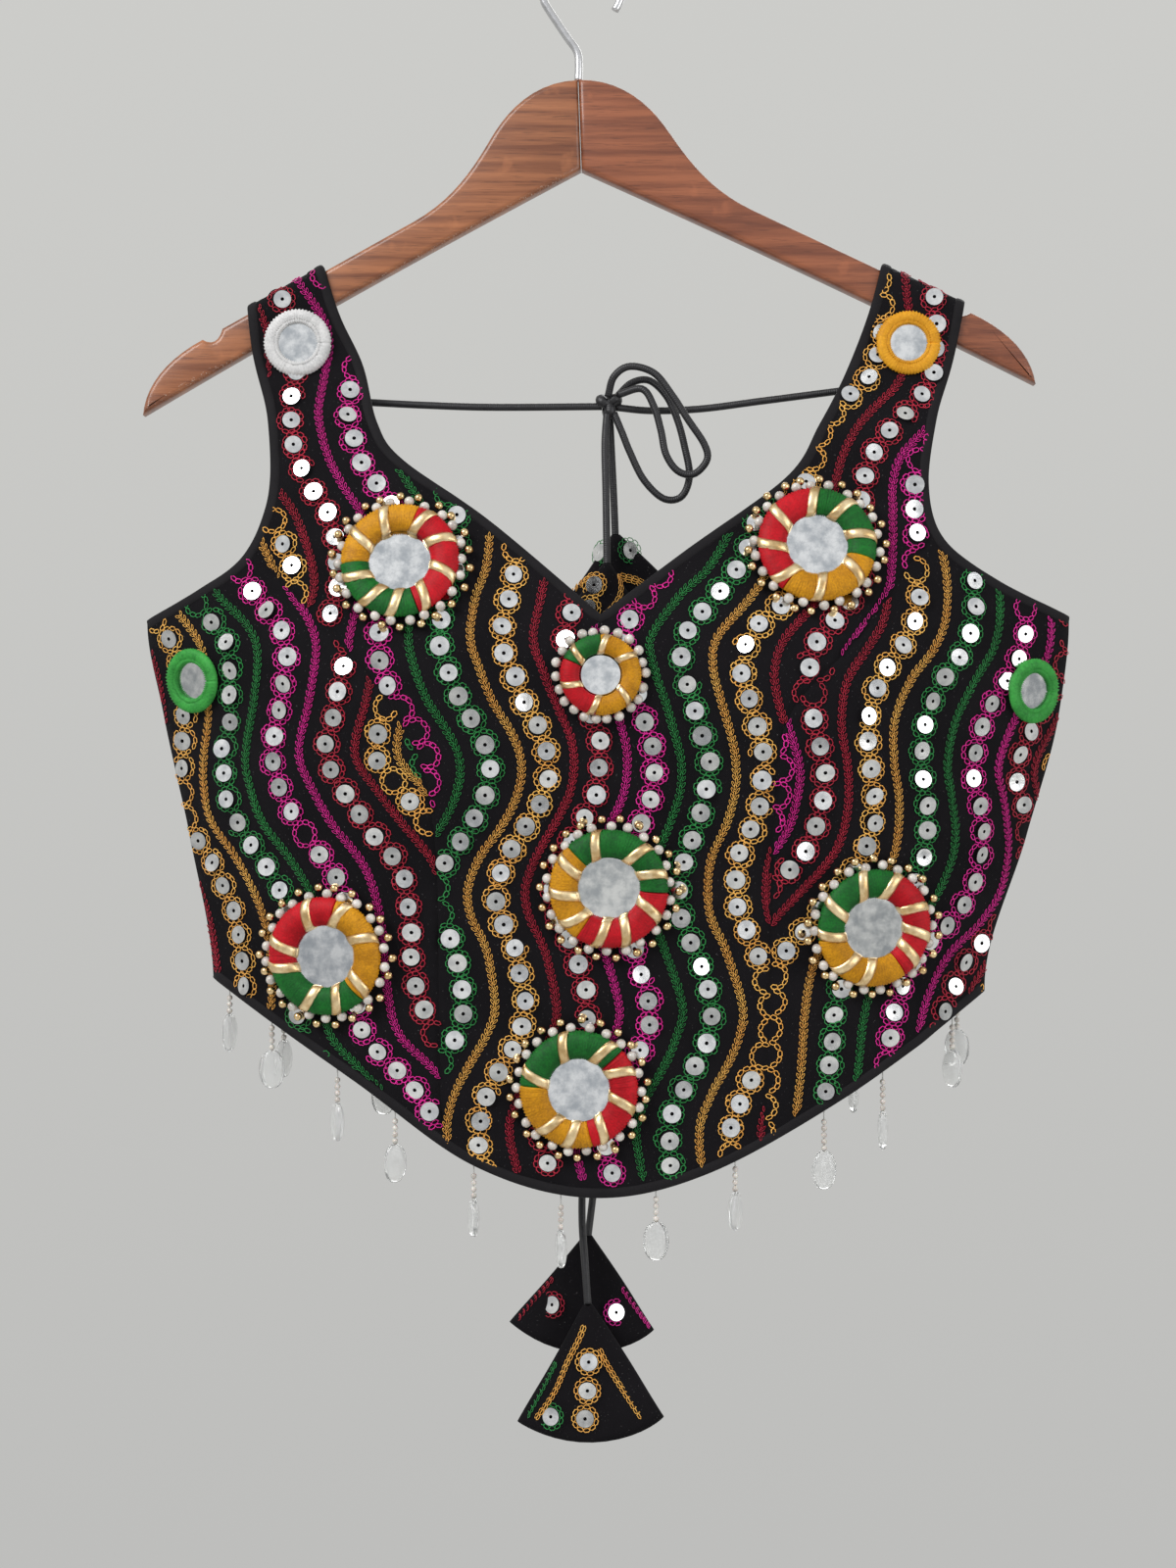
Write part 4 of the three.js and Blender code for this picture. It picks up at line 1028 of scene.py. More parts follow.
def place_tree():
    """Sets a shape on each point, lying along one of its vectors with its top along another."""
    tree = bpy.data.node_groups.new("set shapes", "GeometryNodeTree")
    sockets = {}
    for name, kind in (
            ("Points", "Geometry"), ("Shape", "Object"), ("Size", "Float"), ("Finish", "Material")):
        socket = tree.interface.new_socket(name, in_out="INPUT", socket_type="NodeSocket" + kind)
        sockets[name] = socket.identifier
    tree.interface.new_socket("Result", in_out="OUTPUT", socket_type="NodeSocketGeometry")
    add, join = tree.nodes.new, tree.links.new
    given, result = add("NodeGroupInput"), add("NodeGroupOutput")
    shape = add("GeometryNodeObjectInfo")
    join(given.outputs["Shape"], shape.inputs["Object"])
    vectors = {}
    for name in ("along", "up", "size"):
        vectors[name] = add("GeometryNodeInputNamedAttribute")
        vectors[name].data_type = "FLOAT_VECTOR"
        vectors[name].inputs["Name"].default_value = name
    stand, turn = add("FunctionNodeAlignRotationToVector"), add("FunctionNodeAlignRotationToVector")
    stand.axis = "Z"
    turn.axis = "X"
    turn.pivot_axis = "Z"
    join(vectors["up"].outputs["Attribute"], stand.inputs["Vector"])
    join(stand.outputs["Rotation"], turn.inputs["Rotation"])
    join(vectors["along"].outputs["Attribute"], turn.inputs["Vector"])
    scale = add("ShaderNodeVectorMath")
    scale.operation = "SCALE"
    join(vectors["size"].outputs["Attribute"], scale.inputs["Vector"])
    join(given.outputs["Size"], scale.inputs["Scale"])
    every = add("GeometryNodeInstanceOnPoints")
    join(given.outputs["Points"], every.inputs["Points"])
    join(shape.outputs["Geometry"], every.inputs["Instance"])
    join(turn.outputs["Rotation"], every.inputs["Rotation"])
    join(scale.outputs["Vector"], every.inputs["Scale"])
    real, dressed = add("GeometryNodeRealizeInstances"), add("GeometryNodeSetMaterial")
    join(every.outputs["Instances"], real.inputs["Geometry"])
    join(real.outputs["Geometry"], dressed.inputs["Geometry"])
    join(given.outputs["Finish"], dressed.inputs["Material"])
    join(dressed.outputs["Geometry"], result.inputs["Result"])
    return tree, sockets


SET_SHAPES, SET_SOCKETS = place_tree()


def set_shapes(name, shape, places, finish, size=1.0):
    """One mesh of a shape set at each place: its point, its way along, its way up, its size."""
    places = np.atleast_2d(np.array(places, float))
    dots = bpy.data.meshes.new(name + " places")
    dots.from_pydata([tuple(p) for p in places[:, :3]], [], [])
    for at, vector in ((3, "along"), (6, "up"), (9, "size")):
        data = dots.attributes.new(vector, "FLOAT_VECTOR", "POINT").data
        data.foreach_set("vector", places[:, at:at + 3].ravel())
    holder = bpy.data.objects.new(name + " places", dots)
    pattern = bpy.data.objects.new(name + " shape", shape)
    for helper in (holder, pattern):
        bpy.context.scene.collection.objects.link(helper)
    setter = holder.modifiers.new("set", "NODES")
    setter.node_group = SET_SHAPES
    for socket, value in (("Shape", pattern), ("Size", size), ("Finish", finish)):
        setter[SET_SOCKETS[socket]] = value
    ready = holder.evaluated_get(bpy.context.evaluated_depsgraph_get())
    mesh = bpy.data.meshes.new_from_object(ready)
    mesh.name = name
    for helper in (holder, pattern):
        bpy.data.objects.remove(helper)
    return mesh


def thread_finish(name, deep, bright):
    """Rayon thread: glossy plies that run round each link, a little faded here and there."""
    finish = Finish(name, Sheen_Weight=0.06, Sheen_Roughness=0.35, Specular_IOR_Level=0.4)
    plies = finish.noise(finish.spread(finish.object, (0.0011, 0.0011, 0.0005)), 1, 2, 0.6)
    faded = finish.noise(finish.object, 55, 3).step(0.35, 0.7)
    colour = plies.step(0.3, 0.7).tint(deep, bright)
    finish.bump(plies, 0.00018, 0.6)
    return finish.set(Base_Color=(faded * 0.3).tint(colour, tuple(min(c * 1.35 + 0.01, 1) for c in bright)),
                      Roughness=0.42 + plies * 0.2)


THREADS = {
    RED: thread_finish("red thread", (0.2, 0.002, 0.014), (0.52, 0.008, 0.04)),
    PINK: thread_finish("pink thread", (0.42, 0.002, 0.15), (0.88, 0.012, 0.34)),
    GREEN: thread_finish("green thread", (0.004, 0.09, 0.02), (0.014, 0.27, 0.05)),
    YELLOW: thread_finish("yellow thread", (0.66, 0.25, 0.03), (1.0, 0.52, 0.11)),
}
FACES = {FRONT: "front", BACK: "back"}
link_shape = stitch_link()
for (face, colour), places in links.items():
    name = f"embroidery_{colour}_{FACES[face]}"
    mesh = set_shapes(name, link_shape, np.vstack(places), THREADS[colour])
    add_piece(name, mesh, None, "thread_" + colour)


# ---------------------------------------------------------------------------
# The sequins: thin cups of silvered foil, one in each ring, sewn down through the
# middle, so that each leans its own way.

SEQUIN_RADIUS, SEQUIN_HOLE, SEQUIN_CUP, SEQUIN_THICK, SEQUIN_SIDES = 4.4, 0.9, 0.06, 0.14, 20


def turned(name, profile, sides):
    """A closed profile of radius and height, turned round Z."""
    turns = np.arange(sides) / sides * 2 * math.pi
    verts = [(radius * math.cos(turn) * MM, radius * math.sin(turn) * MM, height * MM)
             for radius, height in profile for turn in turns]
    count = len(profile)
    faces = [(row * sides + side, row * sides + (side + 1) % sides,
              (row + 1) % count * sides + (side + 1) % sides, (row + 1) % count * sides + side)
             for row in range(count) for side in range(sides)]
    mesh = skin_mesh(name, verts, faces)
    mesh.set_sharp_from_angle(angle=math.radians(40))
    return mesh


def silver_finish(name, low, high, roughness, scratch):
    finish = Finish(name, Metallic=1.0)
    cloudy = finish.noise(finish.object, 160, 4, 0.6)
    lines = finish.noise(finish.spread(finish.object, (0.02, 0.02, 0.0012), (0, 0.6, 0)), 1, 3, 0.7)
    finish.bump(cloudy + lines * 0.4, 0.0002, scratch)
    return finish.set(Base_Color=cloudy.step(0.3, 0.7).tint(low, high), Roughness=roughness + cloudy * 0.12)


foil = silver_finish("silvered foil", (0.6, 0.61, 0.62), (0.9, 0.9, 0.89), 0.09, 0.22)
sequin = turned("sequin", [
    (SEQUIN_HOLE, 0), (SEQUIN_RADIUS, SEQUIN_CUP), (SEQUIN_RADIUS, SEQUIN_CUP - SEQUIN_THICK),
    (SEQUIN_HOLE, -SEQUIN_THICK)], SEQUIN_SIDES)
for face, places in sequins.items():
    mesh = set_shapes(f"sequins_{FACES[face]}", sequin, places, foil)
    add_piece(mesh.name, mesh, None, "sequin")


# ---------------------------------------------------------------------------
# The rosettes: a ring of padding wound with floss in three colours and bound with
# gold ribbon, round a hand-cut mirror, edged with pearls and gold beads on a thread.

def sector_colours(*sectors):
    return [(colour, math.radians(start), math.radians(end)) for colour, start, end in sectors]


SECTORS = {
    "rosette_bust_left": sector_colours(("yellow", 72, 184), ("green", 184, 291), ("red", 291, 432)),
    "rosette_bust_right": sector_colours(("red", 90, 232), ("yellow", 232, 343), ("green", 343, 450)),
    "rosette_middle": sector_colours(("green", -4, 134), ("yellow", 134, 236), ("red", 236, 356)),
    "rosette_side_left": sector_colours(("red", 76, 196), ("green", 196, 313), ("yellow", 313, 436)),
    "rosette_side_right": sector_colours(("green", 72, 192), ("yellow", 192, 306), ("red", 306, 432)),
    "rosette_hem": sector_colours(("green", 42, 176), ("yellow", 176, 284), ("red", 284, 402)),
    "rosette_centre_small": sector_colours(("green", 90, 156), ("red", 156, 262), ("yellow", 262, 450)),
}
# Where the ribbon crosses each ring, in degrees round from its right.
RIBBONS = {
    "rosette_bust_left": (27, 62, 112, 152, 205, 238, 268, 305, 345),
    "rosette_bust_right": (12, 55, 95, 145, 185, 226, 272, 322),
    "rosette_middle": (20, 52, 108, 152, 188, 222, 262, 292, 334),
    "rosette_side_left": (25, 68, 112, 168, 196, 252, 288, 326),
    "rosette_side_right": (28, 72, 110, 156, 190, 232, 262, 326, 355),
    "rosette_hem": (25, 58, 110, 165, 232, 262, 302, 345),
    "rosette_centre_small": (35, 85, 140, 200, 260, 320),
}
RING_INNER, RING_OUTER, RING_TALL = 15.2, 28.4, 7.4
RING_FOOT = 2.0
MIRROR_RADIUS, MIRROR_UP = 15.6, 4.6
# How each mirror leans as it was sewn: its rise to the right, and its rise upward.
MIRROR_LEANS = {
    "rosette_bust_left": (-0.03, -0.09), "rosette_bust_right": (-0.01, 0.01), "rosette_middle": (0.02, 0.1),
    "rosette_side_left": (0.03, -0.06), "rosette_side_right": (0, -0.02), "rosette_hem": (0.01, -0.12),
    "rosette_centre_small": (0, -0.04),
}
FLOSS_RIDGES, FLOSS_PROUD = 112, 0.55
RIBBON_WIDE, RIBBON_LEAN, RIBBON_STEPS = 5.0, 0.3, 12
PEARLS_ROUND, PEARL_RADIUS, PEARL_OUT = 22, 2.5, 30.2
BEAD_RADIUS, BEAD_OUT = 2.15, 33.5
SMALL_PEARL, SMALL_OUT = 2.5, 21.4


def seat(x, z, face=FRONT):
    """The place, right, up and out directions of something sewn on the cloth."""
    place, out = cloth(face, x, z)
    right = cloth(face, x + 1, z)[0] - cloth(face, x - 1, z)[0]
    out = out[0]
    right = right[0] - out * right[0].dot(out)
    right /= np.linalg.norm(right)
    return place[0], right, np.cross(out, right), out


def on_seat(frame_of, points):
    """Points given across, up and out from a seat, in mm, as places in metres."""
    place, right, up, out = frame_of
    points = np.asarray(points, float) * MM
    return place + points[:, :1] * right + points[:, 1:2] * up + points[:, 2:3] * out


def ring_section(turn, proud=0.0, inner=RING_INNER, outer=RING_OUTER, tall=RING_TALL, foot=RING_FOOT):
    """A point of the wound ring's round section: its radius and how far out it is."""
    half = (outer - inner) / 2
    radius = inner + half + (half + proud) * math.cos(turn)
    return radius, foot + (tall / 2 + proud) * (1 + math.sin(turn))


def join_parts(name, parts):
    """One mesh of several skins."""
    verts, faces, base = [], [], 0
    for points, skin in parts:
        verts.extend(points)
        faces.extend(tuple(index + base for index in face) for face in skin)
        base += len(points)
    return skin_mesh(name, verts, faces)


def ring_skin(rows, closed=False):
    """The faces over rows of rings, capped at both ends unless it closes on itself."""
    size, count = len(rows[0]), len(rows)
    points = [p for row in rows for p in row]
    faces = []
    for row in range(count if closed else count - 1):
        for side in range(size):
            after, ahead = (side + 1) % size, (row + 1) % count
            faces.append((row * size + side, row * size + after, ahead * size + after, ahead * size + side))
    if not closed:
        faces.append(tuple(range(size))[::-1])
        faces.append(tuple((count - 1) * size + side for side in range(size)))
    return points, faces


def wound_ring(seated, size, start, end, ridges, **section):
    """A stretch of padding wound with floss; each turn of floss is a ridge across it."""
    steps = max(int(ridges * 2 * (end - start) / (2 * math.pi)), 8)
    closed = end - start > 6.28
    rows = []
    for step in range(steps if closed else steps + 1):
        about = start + (end - start) * step / steps
        proud = FLOSS_PROUD * (step % 2) + dice.normal(0, 0.05)
        if not closed:
            proud -= 0.5 * (step in (0, steps))
        row = []
        for side in range(12):
            radius, off = ring_section(side / 12 * 2 * math.pi, proud, **section)
            row.append((radius * size * math.cos(about), radius * size * math.sin(about), off))
        rows.append(on_seat(seated, row))
    return ring_skin(rows, closed)


def ribbon_strip(seated, size, about):
    """A gold ribbon over the ring, slanting from its inside to its outside."""
    rows = []
    for step in range(RIBBON_STEPS + 1):
        turn = math.pi * (1.12 - 1.24 * step / RIBBON_STEPS)
        lean = about + RIBBON_LEAN * (0.5 - step / RIBBON_STEPS)
        row = []
        for side, proud in ((-1, 0.5), (-0.4, 0.8), (0.4, 0.8), (1, 0.5), (1, 0.2), (-1, 0.2)):
            radius, off = ring_section(turn, proud)
            wide = side * RIBBON_WIDE / 2 / radius
            row.append((radius * size * math.cos(lean + wide), radius * size * math.sin(lean + wide), off))
        rows.append(on_seat(seated, row))
    return ring_skin(rows)


def mirror_disc(seated, radius, up, tilt, thick=1.1, sides=48, uneven=0.12):
    """A disc of mirror glass, cut by hand, with its edge just broken."""
    swell = [dice.normal(0, uneven) for _ in range(3)]
    rows = []
    for inset, off in ((0.1, 0), (0, 0.1), (0, thick - 0.3), (0.3, thick)):
        row = []
        for side in range(sides):
            turn = side / sides * 2 * math.pi
            wide = radius - inset + sum(s * math.sin((n + 2) * turn + n) for n, s in enumerate(swell)) * 0.5
            x, y = wide * math.cos(turn), wide * math.sin(turn)
            row.append((x, y, up + off + x * tilt[0] + y * tilt[1]))
        rows.append(on_seat(seated, row))
    return ring_skin(rows)


def ball(radius, rings=7, sides=12):
    """A small round bead on the origin."""
    mesh = bpy.data.meshes.new("bead")
    made = bmesh.new()
    bmesh.ops.create_uvsphere(made, u_segments=sides, v_segments=rings, radius=radius * MM)
    made.to_mesh(mesh)
    made.free()
    mesh.shade_smooth()
    return mesh


def floss_finish(name, deep, bright):
    finish = Finish(name, Sheen_Weight=0.05, Sheen_Roughness=0.3, Specular_IOR_Level=0.3)
    strand = finish.noise(finish.object, 900, 3, 0.7)
    uneven = finish.noise(finish.object, 120, 3)
    finish.bump(strand, 0.0002, 0.5)
    return finish.set(Base_Color=(strand * 0.6 + uneven * 0.4).step(0.3, 0.7).tint(deep, bright),
                      Roughness=0.5 + strand * 0.2)


def pearl_finish():
    finish = Finish("pearl", Coat_Weight=0.6, Coat_Roughness=0.08,
                    Subsurface_Weight=0.1, Subsurface_Scale=0.001)
    lustre = finish.noise(finish.object, 230, 3)
    return finish.set(Base_Color=lustre.step(0.3, 0.7).tint((0.42, 0.38, 0.34), (0.7, 0.66, 0.61)),
                      Roughness=0.22 + lustre * 0.1)


FLOSS = {
    "yellow": (floss_finish("mustard floss", (0.4, 0.16, 0.002), (0.78, 0.36, 0.006)), "thread_yellow"),
    "red": (floss_finish("scarlet floss", (0.34, 0.001, 0.006), (0.66, 0.003, 0.014)), "ring_thread"),
    "green": (floss_finish("bottle-green floss", (0.002, 0.06, 0.01), (0.008, 0.19, 0.02)), "thread_green"),
}
gold_ribbon = silver_finish("gold ribbon", (0.6, 0.4, 0.18), (0.95, 0.76, 0.46), 0.3, 0.9)
mirror_glass = silver_finish("old mirror glass", (0.5, 0.53, 0.56), (0.93, 0.94, 0.94), 0.03, 0.08)
gold_bead = silver_finish("gilt bead", (0.6, 0.4, 0.18), (0.9, 0.68, 0.38), 0.18, 0.1)
pearl = pearl_finish()
wound = {colour: [] for colour in FLOSS}
ribbons, mirrors, pearl_places, bead_places, small_places = [], [], [], [], []
for name, (x, z, size) in ROSETTES.items():
    seated = seat(x, z)
    for colour, start, end in SECTORS[name]:
        wound[colour].append(wound_ring(seated, size, start, end, FLOSS_RIDGES * (0.75 if size < 1 else 1)))
    ribbons += [ribbon_strip(seated, size, math.radians(about)) for about in RIBBONS[name]]
    mirrors.append(mirror_disc(seated, MIRROR_RADIUS * size * (0.92 if size < 1 else 1), MIRROR_UP,
                               MIRROR_LEANS[name]))
    turn = dice.uniform(0, 0.28)
    for index in range(PEARLS_ROUND):
        about = turn + (index + dice.uniform(-0.12, 0.12)) * 2 * math.pi / PEARLS_ROUND
        kinds = [(pearl_places, PEARL_OUT, 0, 5.1), (bead_places, BEAD_OUT, 0.5, 4.4)]
        if size < 1:
            kinds = [(small_places, SMALL_OUT, 0, 4.6)]
        for store, out, late, off in kinds:
            turned_by = about + late * 2 * math.pi / PEARLS_ROUND
            reach = out + dice.normal(0, 0.35)
            spot = on_seat(seated, [(reach * math.cos(turned_by), reach * math.sin(turned_by), off)])[0]
            store.append(np.concatenate([spot, seated[1], seated[3], np.ones(3)]))
for colour, parts in wound.items():
    finish, slot = FLOSS[colour]
    add_piece(f"rosette_floss_{colour}", join_parts("floss", parts), finish, slot,
              list(ROSETTES) if colour == "yellow" else ())
add_piece("rosette_ribbons", join_parts("ribbons", ribbons), gold_ribbon, "ribbon")
discs = join_parts("mirrors", mirrors)
discs.set_sharp_from_angle(angle=math.radians(30))
add_piece("rosette_mirrors", discs, mirror_glass, "mirror")
for name, places, radius, finish, slot in (
        ("rosette_pearls", pearl_places, PEARL_RADIUS, pearl, "pearl"),
        ("rosette_small_pearls", small_places, SMALL_PEARL, pearl, "pearl"),
        ("rosette_gold_beads", bead_places, BEAD_RADIUS, gold_bead, "bead")):
    add_piece(name, set_shapes(name, ball(radius), places, finish), None, slot)


# ---------------------------------------------------------------------------
# The mirror buttons: small mirrors, each in a ring wound closely with thread, and
# sewn flat on the straps and at the sides.

BUTTON_THREADS = {
    "mirror_button_strap_left": ("white winding", (0.5, 0.5, 0.5), (0.78, 0.77, 0.76)),
    "mirror_button_strap_right": ("yellow winding", (0.6, 0.25, 0.005), (0.86, 0.42, 0.02)),
    "mirror_button_side_left": ("green winding", (0.02, 0.2, 0.03), (0.06, 0.42, 0.07)),
    "mirror_button_side_right": ("green winding", (0.02, 0.2, 0.03), (0.06, 0.42, 0.07)),
}
BUTTON_RIDGES = 60
BUTTON_RING = {"inner": 10.6, "outer": 16.4, "tall": 3.6, "foot": 1.4}
BUTTON_LIP = {"inner": 9.8, "outer": 11.8, "tall": 2.2, "foot": 2.4}
button_mirrors = []
for name, (x, z, size) in BUTTONS.items():
    seated = seat(x, z)
    winding, deep, bright = BUTTON_THREADS[name]
    finish = bpy.data.materials.get(winding) or floss_finish(winding, deep, bright)
    rings = [wound_ring(seated, size, 0, 2 * math.pi, BUTTON_RIDGES, **part)
             for part in (BUTTON_RING, BUTTON_LIP)]
    add_piece(name, join_parts(name, rings), finish, "ring_thread", [name])
    button_mirrors.append(mirror_disc(seated, 10.9 * size, 2.0, (0.02, 0.03)))
discs = join_parts("button mirrors", button_mirrors)
discs.set_sharp_from_angle(angle=math.radians(30))
add_piece("button_mirrors", discs, mirror_glass, "mirror")


# ---------------------------------------------------------------------------
# The drops along the hem: glass shells, each hung from the binding by a thread with
# a few small pearls on it, and free to swing.

# Each drop: its place across, how far down its shell hangs, and its turn in degrees.
FRONT_DROPS = [(-177, 17, 70), (-154, 19, 5), (-120, 21, -65), (-91, 20, 35), (-52.5, 20, 85), (-10.5, 21, -80),
               (36, 19, 0), (75, 19, 65), (118.5, 24, 15), (148, 24, 85), (185, 21.5, -50)]
BACK_DROPS = [(-150, 20, 60), (-100, 19, 10), (-48, 21, -70), (52, 20, 30), (137, 19, 80), (188, 17, -20)]
DROP_BEAD, DROP_STEP, DROP_THREAD = 1.5, 3.2, 0.35
SHELL_TALL, SHELL_WIDE, SHELL_DEEP = 19, 11.5, 6.4
HANG_IN = WALL / MM / 2 + 2.2


def glass_shell(place, turn):
    """A pointed oval of glass with a raised rim all round and a slit down each face."""
    rows = []
    cos, sin = math.cos(turn), math.sin(turn)
    for step in range(1, 16):
        about = step / 16 * math.pi
        level = SHELL_TALL / 2 * math.cos(about)
        wide = SHELL_WIDE / 2 * math.sin(about) ** 0.85
        deep = SHELL_DEEP / 2 * math.sin(about) ** 0.8
        row = []
        for side in range(20):
            angle = side / 20 * 2 * math.pi
            rim = 1 + 0.1 * abs(math.cos(angle)) ** 8
            groove = 1 - 0.34 * abs(math.sin(angle)) ** 10 * math.sin(about)
            x, y = wide * math.cos(angle) * rim, deep * math.sin(angle) * groove
            row.append(((place[0] + x * cos - y * sin) * MM, (place[1] + x * sin + y * cos) * MM,
                        (place[2] + level) * MM))
        rows.append(row)
    return ring_skin(rows)


shell_glass = Finish("milky glass", IOR=1.45, Transmission_Weight=0.82, Specular_IOR_Level=0.6)
milk = shell_glass.noise(shell_glass.object, 140, 3)
shell_glass.set(Base_Color=milk.tint((0.86, 0.87, 0.87), (0.97, 0.97, 0.96)), Roughness=0.08 + milk * 0.12)
hang_thread = floss_finish("hanging thread", (0.5, 0.5, 0.48), (0.72, 0.71, 0.69))
bead_spots, threads = [], []
back_hem = np.vstack([back_hem_l, back_hem_r])
for face, drops, line in ((FRONT, FRONT_DROPS, hem), (BACK, BACK_DROPS, back_hem)):
    for number, (x, reach, turn) in enumerate(drops, 1):
        name = f"drop_{FACES[face]}_{number}"
        z = np.interp(x, line[:, 0], line[:, 1])
        top, normal = cloth(face, x, z)
        top = top[0] / MM - normal[0] * HANG_IN
        lowest = reach - 2
        count = max(int((lowest - 4) // DROP_STEP), 2)
        rows = []
        for level in (top[2] + 2, top[2], top[2] - lowest):
            rows.append([((top[0] + DROP_THREAD * across) * MM, (top[1] + DROP_THREAD * out) * MM, level * MM)
                         for across, out in ((1, 0), (0, 1), (-1, 0), (0, -1))])
        threads.append(ring_skin(rows))
        for bead in range(count):
            spot = np.array([top[0], top[1], top[2] - lowest + 0.6 + (bead + 0.5) * DROP_STEP]) * MM
            bead_spots.append(np.concatenate([spot, (1, 0, 0), (0, 0, 1), np.ones(3)]))
        middle = (top[0], top[1], top[2] - lowest - SHELL_TALL / 2 + 1)
        shell = join_parts(name, [glass_shell(middle, math.radians(turn))])
        add_piece(name, shell, shell_glass.material, "shell", [name])
add_piece("drop_threads", join_parts("threads", threads), hang_thread, "cord")
add_piece("drop_pearls", set_shapes("drop_pearls", ball(DROP_BEAD, 6, 10), bead_spots, pearl), None, "pearl")


# ---------------------------------------------------------------------------
# The ties: stuffed tubes of black satin, sewn to the neck edges and knotted at the
# nape, with the bow's loops and two loose ends; a second pair hangs from the back hem.

TIE = 3.7
# Each tie: what its far end meets, how it lies, and its route in mm, from its sewn or knotted end.
TIES = {
    "tie_upper_left": ("knot", "taut", [
        (-111, 11, -223), (-80, 11.5, -224.5), (-45, 12, -225.5), (10, 13, -225)]),
    "tie_upper_right": ("object", "taut", [
        (17, 14, -225.3), (35, 17, -226.5), (60, 17.5, -225.5), (90, 15, -222), (133, 11, -217)]),
    "tie_loop_front": ("knot", "hanging", [
        (13, 9.5, -220.5), (16, 6, -211), (24, 5, -206), (36, 4, -209.5), (45, 3.5, -220.5), (53, 3, -233),
        (61, 3, -245), (62.5, 3.5, -253), (56, 4, -260), (48, 4.5, -258.5), (42, 5, -250), (39.5, 5.5, -238),
        (36, 6, -226), (30, 7, -217), (18, 10.5, -219.5)]),
    "tie_loop_back": ("knot", "hanging", [
        (16, 11.5, -228.5), (20, 11, -238), (24, 11, -248), (31, 11, -262), (41, 11, -271.5), (50, 11, -270.5),
        (54, 11, -260), (51.5, 11.5, -245), (48, 11.5, -232), (42.5, 11.5, -220), (34, 12.5, -212),
        (25, 13.5, -213), (17, 13.5, -220.5)]),
    "tie_strand_front": ("object", "hanging", [
        (12.5, 11, -228.5), (11.5, 8, -245), (12, 5, -270), (12.5, 1, -306)]),
    "tie_strand_back": ("object", "hanging", [
        (14, 14.8, -229.5), (15, 16, -250), (16, 17, -270), (16.8, 17.4, -290)]),
    "tie_lower_front": ("object", "hanging", [
        (7.2, 25, -560.5), (3, 25, -580), (0.5, 23, -610), (0, 17, -635), (1.5, 10, -656), (2.9, 8, -676)]),
    "tie_lower_back": ("object", "hanging", [
        (10.5, 26, -560.5), (8, 27.5, -585), (6.5, 28, -615), (3, 28, -645.5)]),
}
KNOTS = {"tie_upper_knot": (13.5, 13, -224), "tie_lower_knot": (9, 25, -556)}
satin = Finish("black satin", Sheen_Weight=0.2, Sheen_Roughness=0.3, Specular_IOR_Level=0.55)
along, round_it, _ = satin.parts(satin.uv)
pull = satin.noise(satin.spread(satin.uv, (0.004, 0.2, 1)), 1, 3, 0.6)
slant = satin.tools.maths("SINE", (along / (1.1 * MM) + round_it) * (2 * math.pi)) * 0.5 + 0.5
satin.bump(slant * 0.5 + pull, 0.00025, 0.6)
satin.set(Base_Color=pull.tint((0.004, 0.004, 0.005), (0.014, 0.013, 0.016)), Roughness=0.34 + pull * 0.2)
for name, (far_end, lay, points) in TIES.items():
    path = smooth_path(np.array(points, float) * MM, 1.6 * MM)
    reach = np.linalg.norm(np.diff(path, axis=0), axis=1).sum()
    piece = add_piece(name, tube(name, path, TIE / 2 * MM, 14), satin.material, "cord", [name])


def tied_knot(name, middle):
    """An overhand knot: the tie laid twice round itself and pulled tight."""
    path = []
    for step in range(73):
        turn = step / 72 * 2 * math.pi
        path.append(((middle[0] + 2.4 * (math.sin(turn) + 0.9 * math.sin(2 * turn))) * MM,
                     (middle[1] + 1.7 * math.sin(3 * turn)) * MM,
                     (middle[2] + 2.5 * (math.cos(turn) - 0.9 * math.cos(2 * turn))) * MM))
    return tube(name, path, 2.8 * MM, 14)


for name, middle in KNOTS.items():
    add_piece(name, tied_knot(name, middle), satin.material, "cord", [name])


# ---------------------------------------------------------------------------
# The latkans: folded cones of the garment's own cloth, sewn round the ends of the
# ties, worked with the same chains and sequins, and open at the bottom.

# Each cone: its tip, its length, the half angle it opens to, and how far it leans.
LATKANS = {
    "latkan_upper_back": ((16.8, 18, -287.5), 56, 40, 6), "latkan_upper_front": ((12.5, 1, -303.5), 56, 34, -3),
    "latkan_lower_back": ((3, 28, -643), 60, 37, -3), "latkan_lower_front": ((2.9, 8, -673.5), 70, 31, 2),
}
LATKAN_WALL, LATKAN_SIDES, LATKAN_RINGS = 1.5, 36, 16


def latkan_point(spec, along, about, off=0.0):
    """A place on a cone: how far down from its tip, and how far round, from the front's left."""
    (tip_x, tip_y, tip_z), _, half, lean = spec
    angle = math.radians(lean + half * math.cos(about))
    deep = min(2 + 0.12 * along, 7)
    x, y, z = along * math.sin(angle), deep * math.sin(about), -along * math.cos(angle)
    out = np.array([math.cos(about) * 0.6, math.sin(about), 0.12])
    out /= np.linalg.norm(out)
    return (np.array([tip_x + x, tip_y + y, tip_z + z]) + out * off) * MM, out


def latkan_mesh(name, spec):
    """A cone of cloth with an inside and an outside, open at its foot."""
    rows = []
    length = spec[1]
    levels = list(np.linspace(0.04, 1, LATKAN_RINGS))
    for off, order in ((LATKAN_WALL / 2, levels), (-LATKAN_WALL / 2, levels[::-1])):
        for level in order:
            row = []
            for side in range(LATKAN_SIDES):
                about = side / LATKAN_SIDES * 2 * math.pi
                sag = 0.7 * math.sin(3 * about + 5 * level) * level
                row.append(latkan_point(spec, length * level, about, off + sag)[0])
            rows.append(row)
    return join_parts(name, [ring_skin(rows, closed=True)])


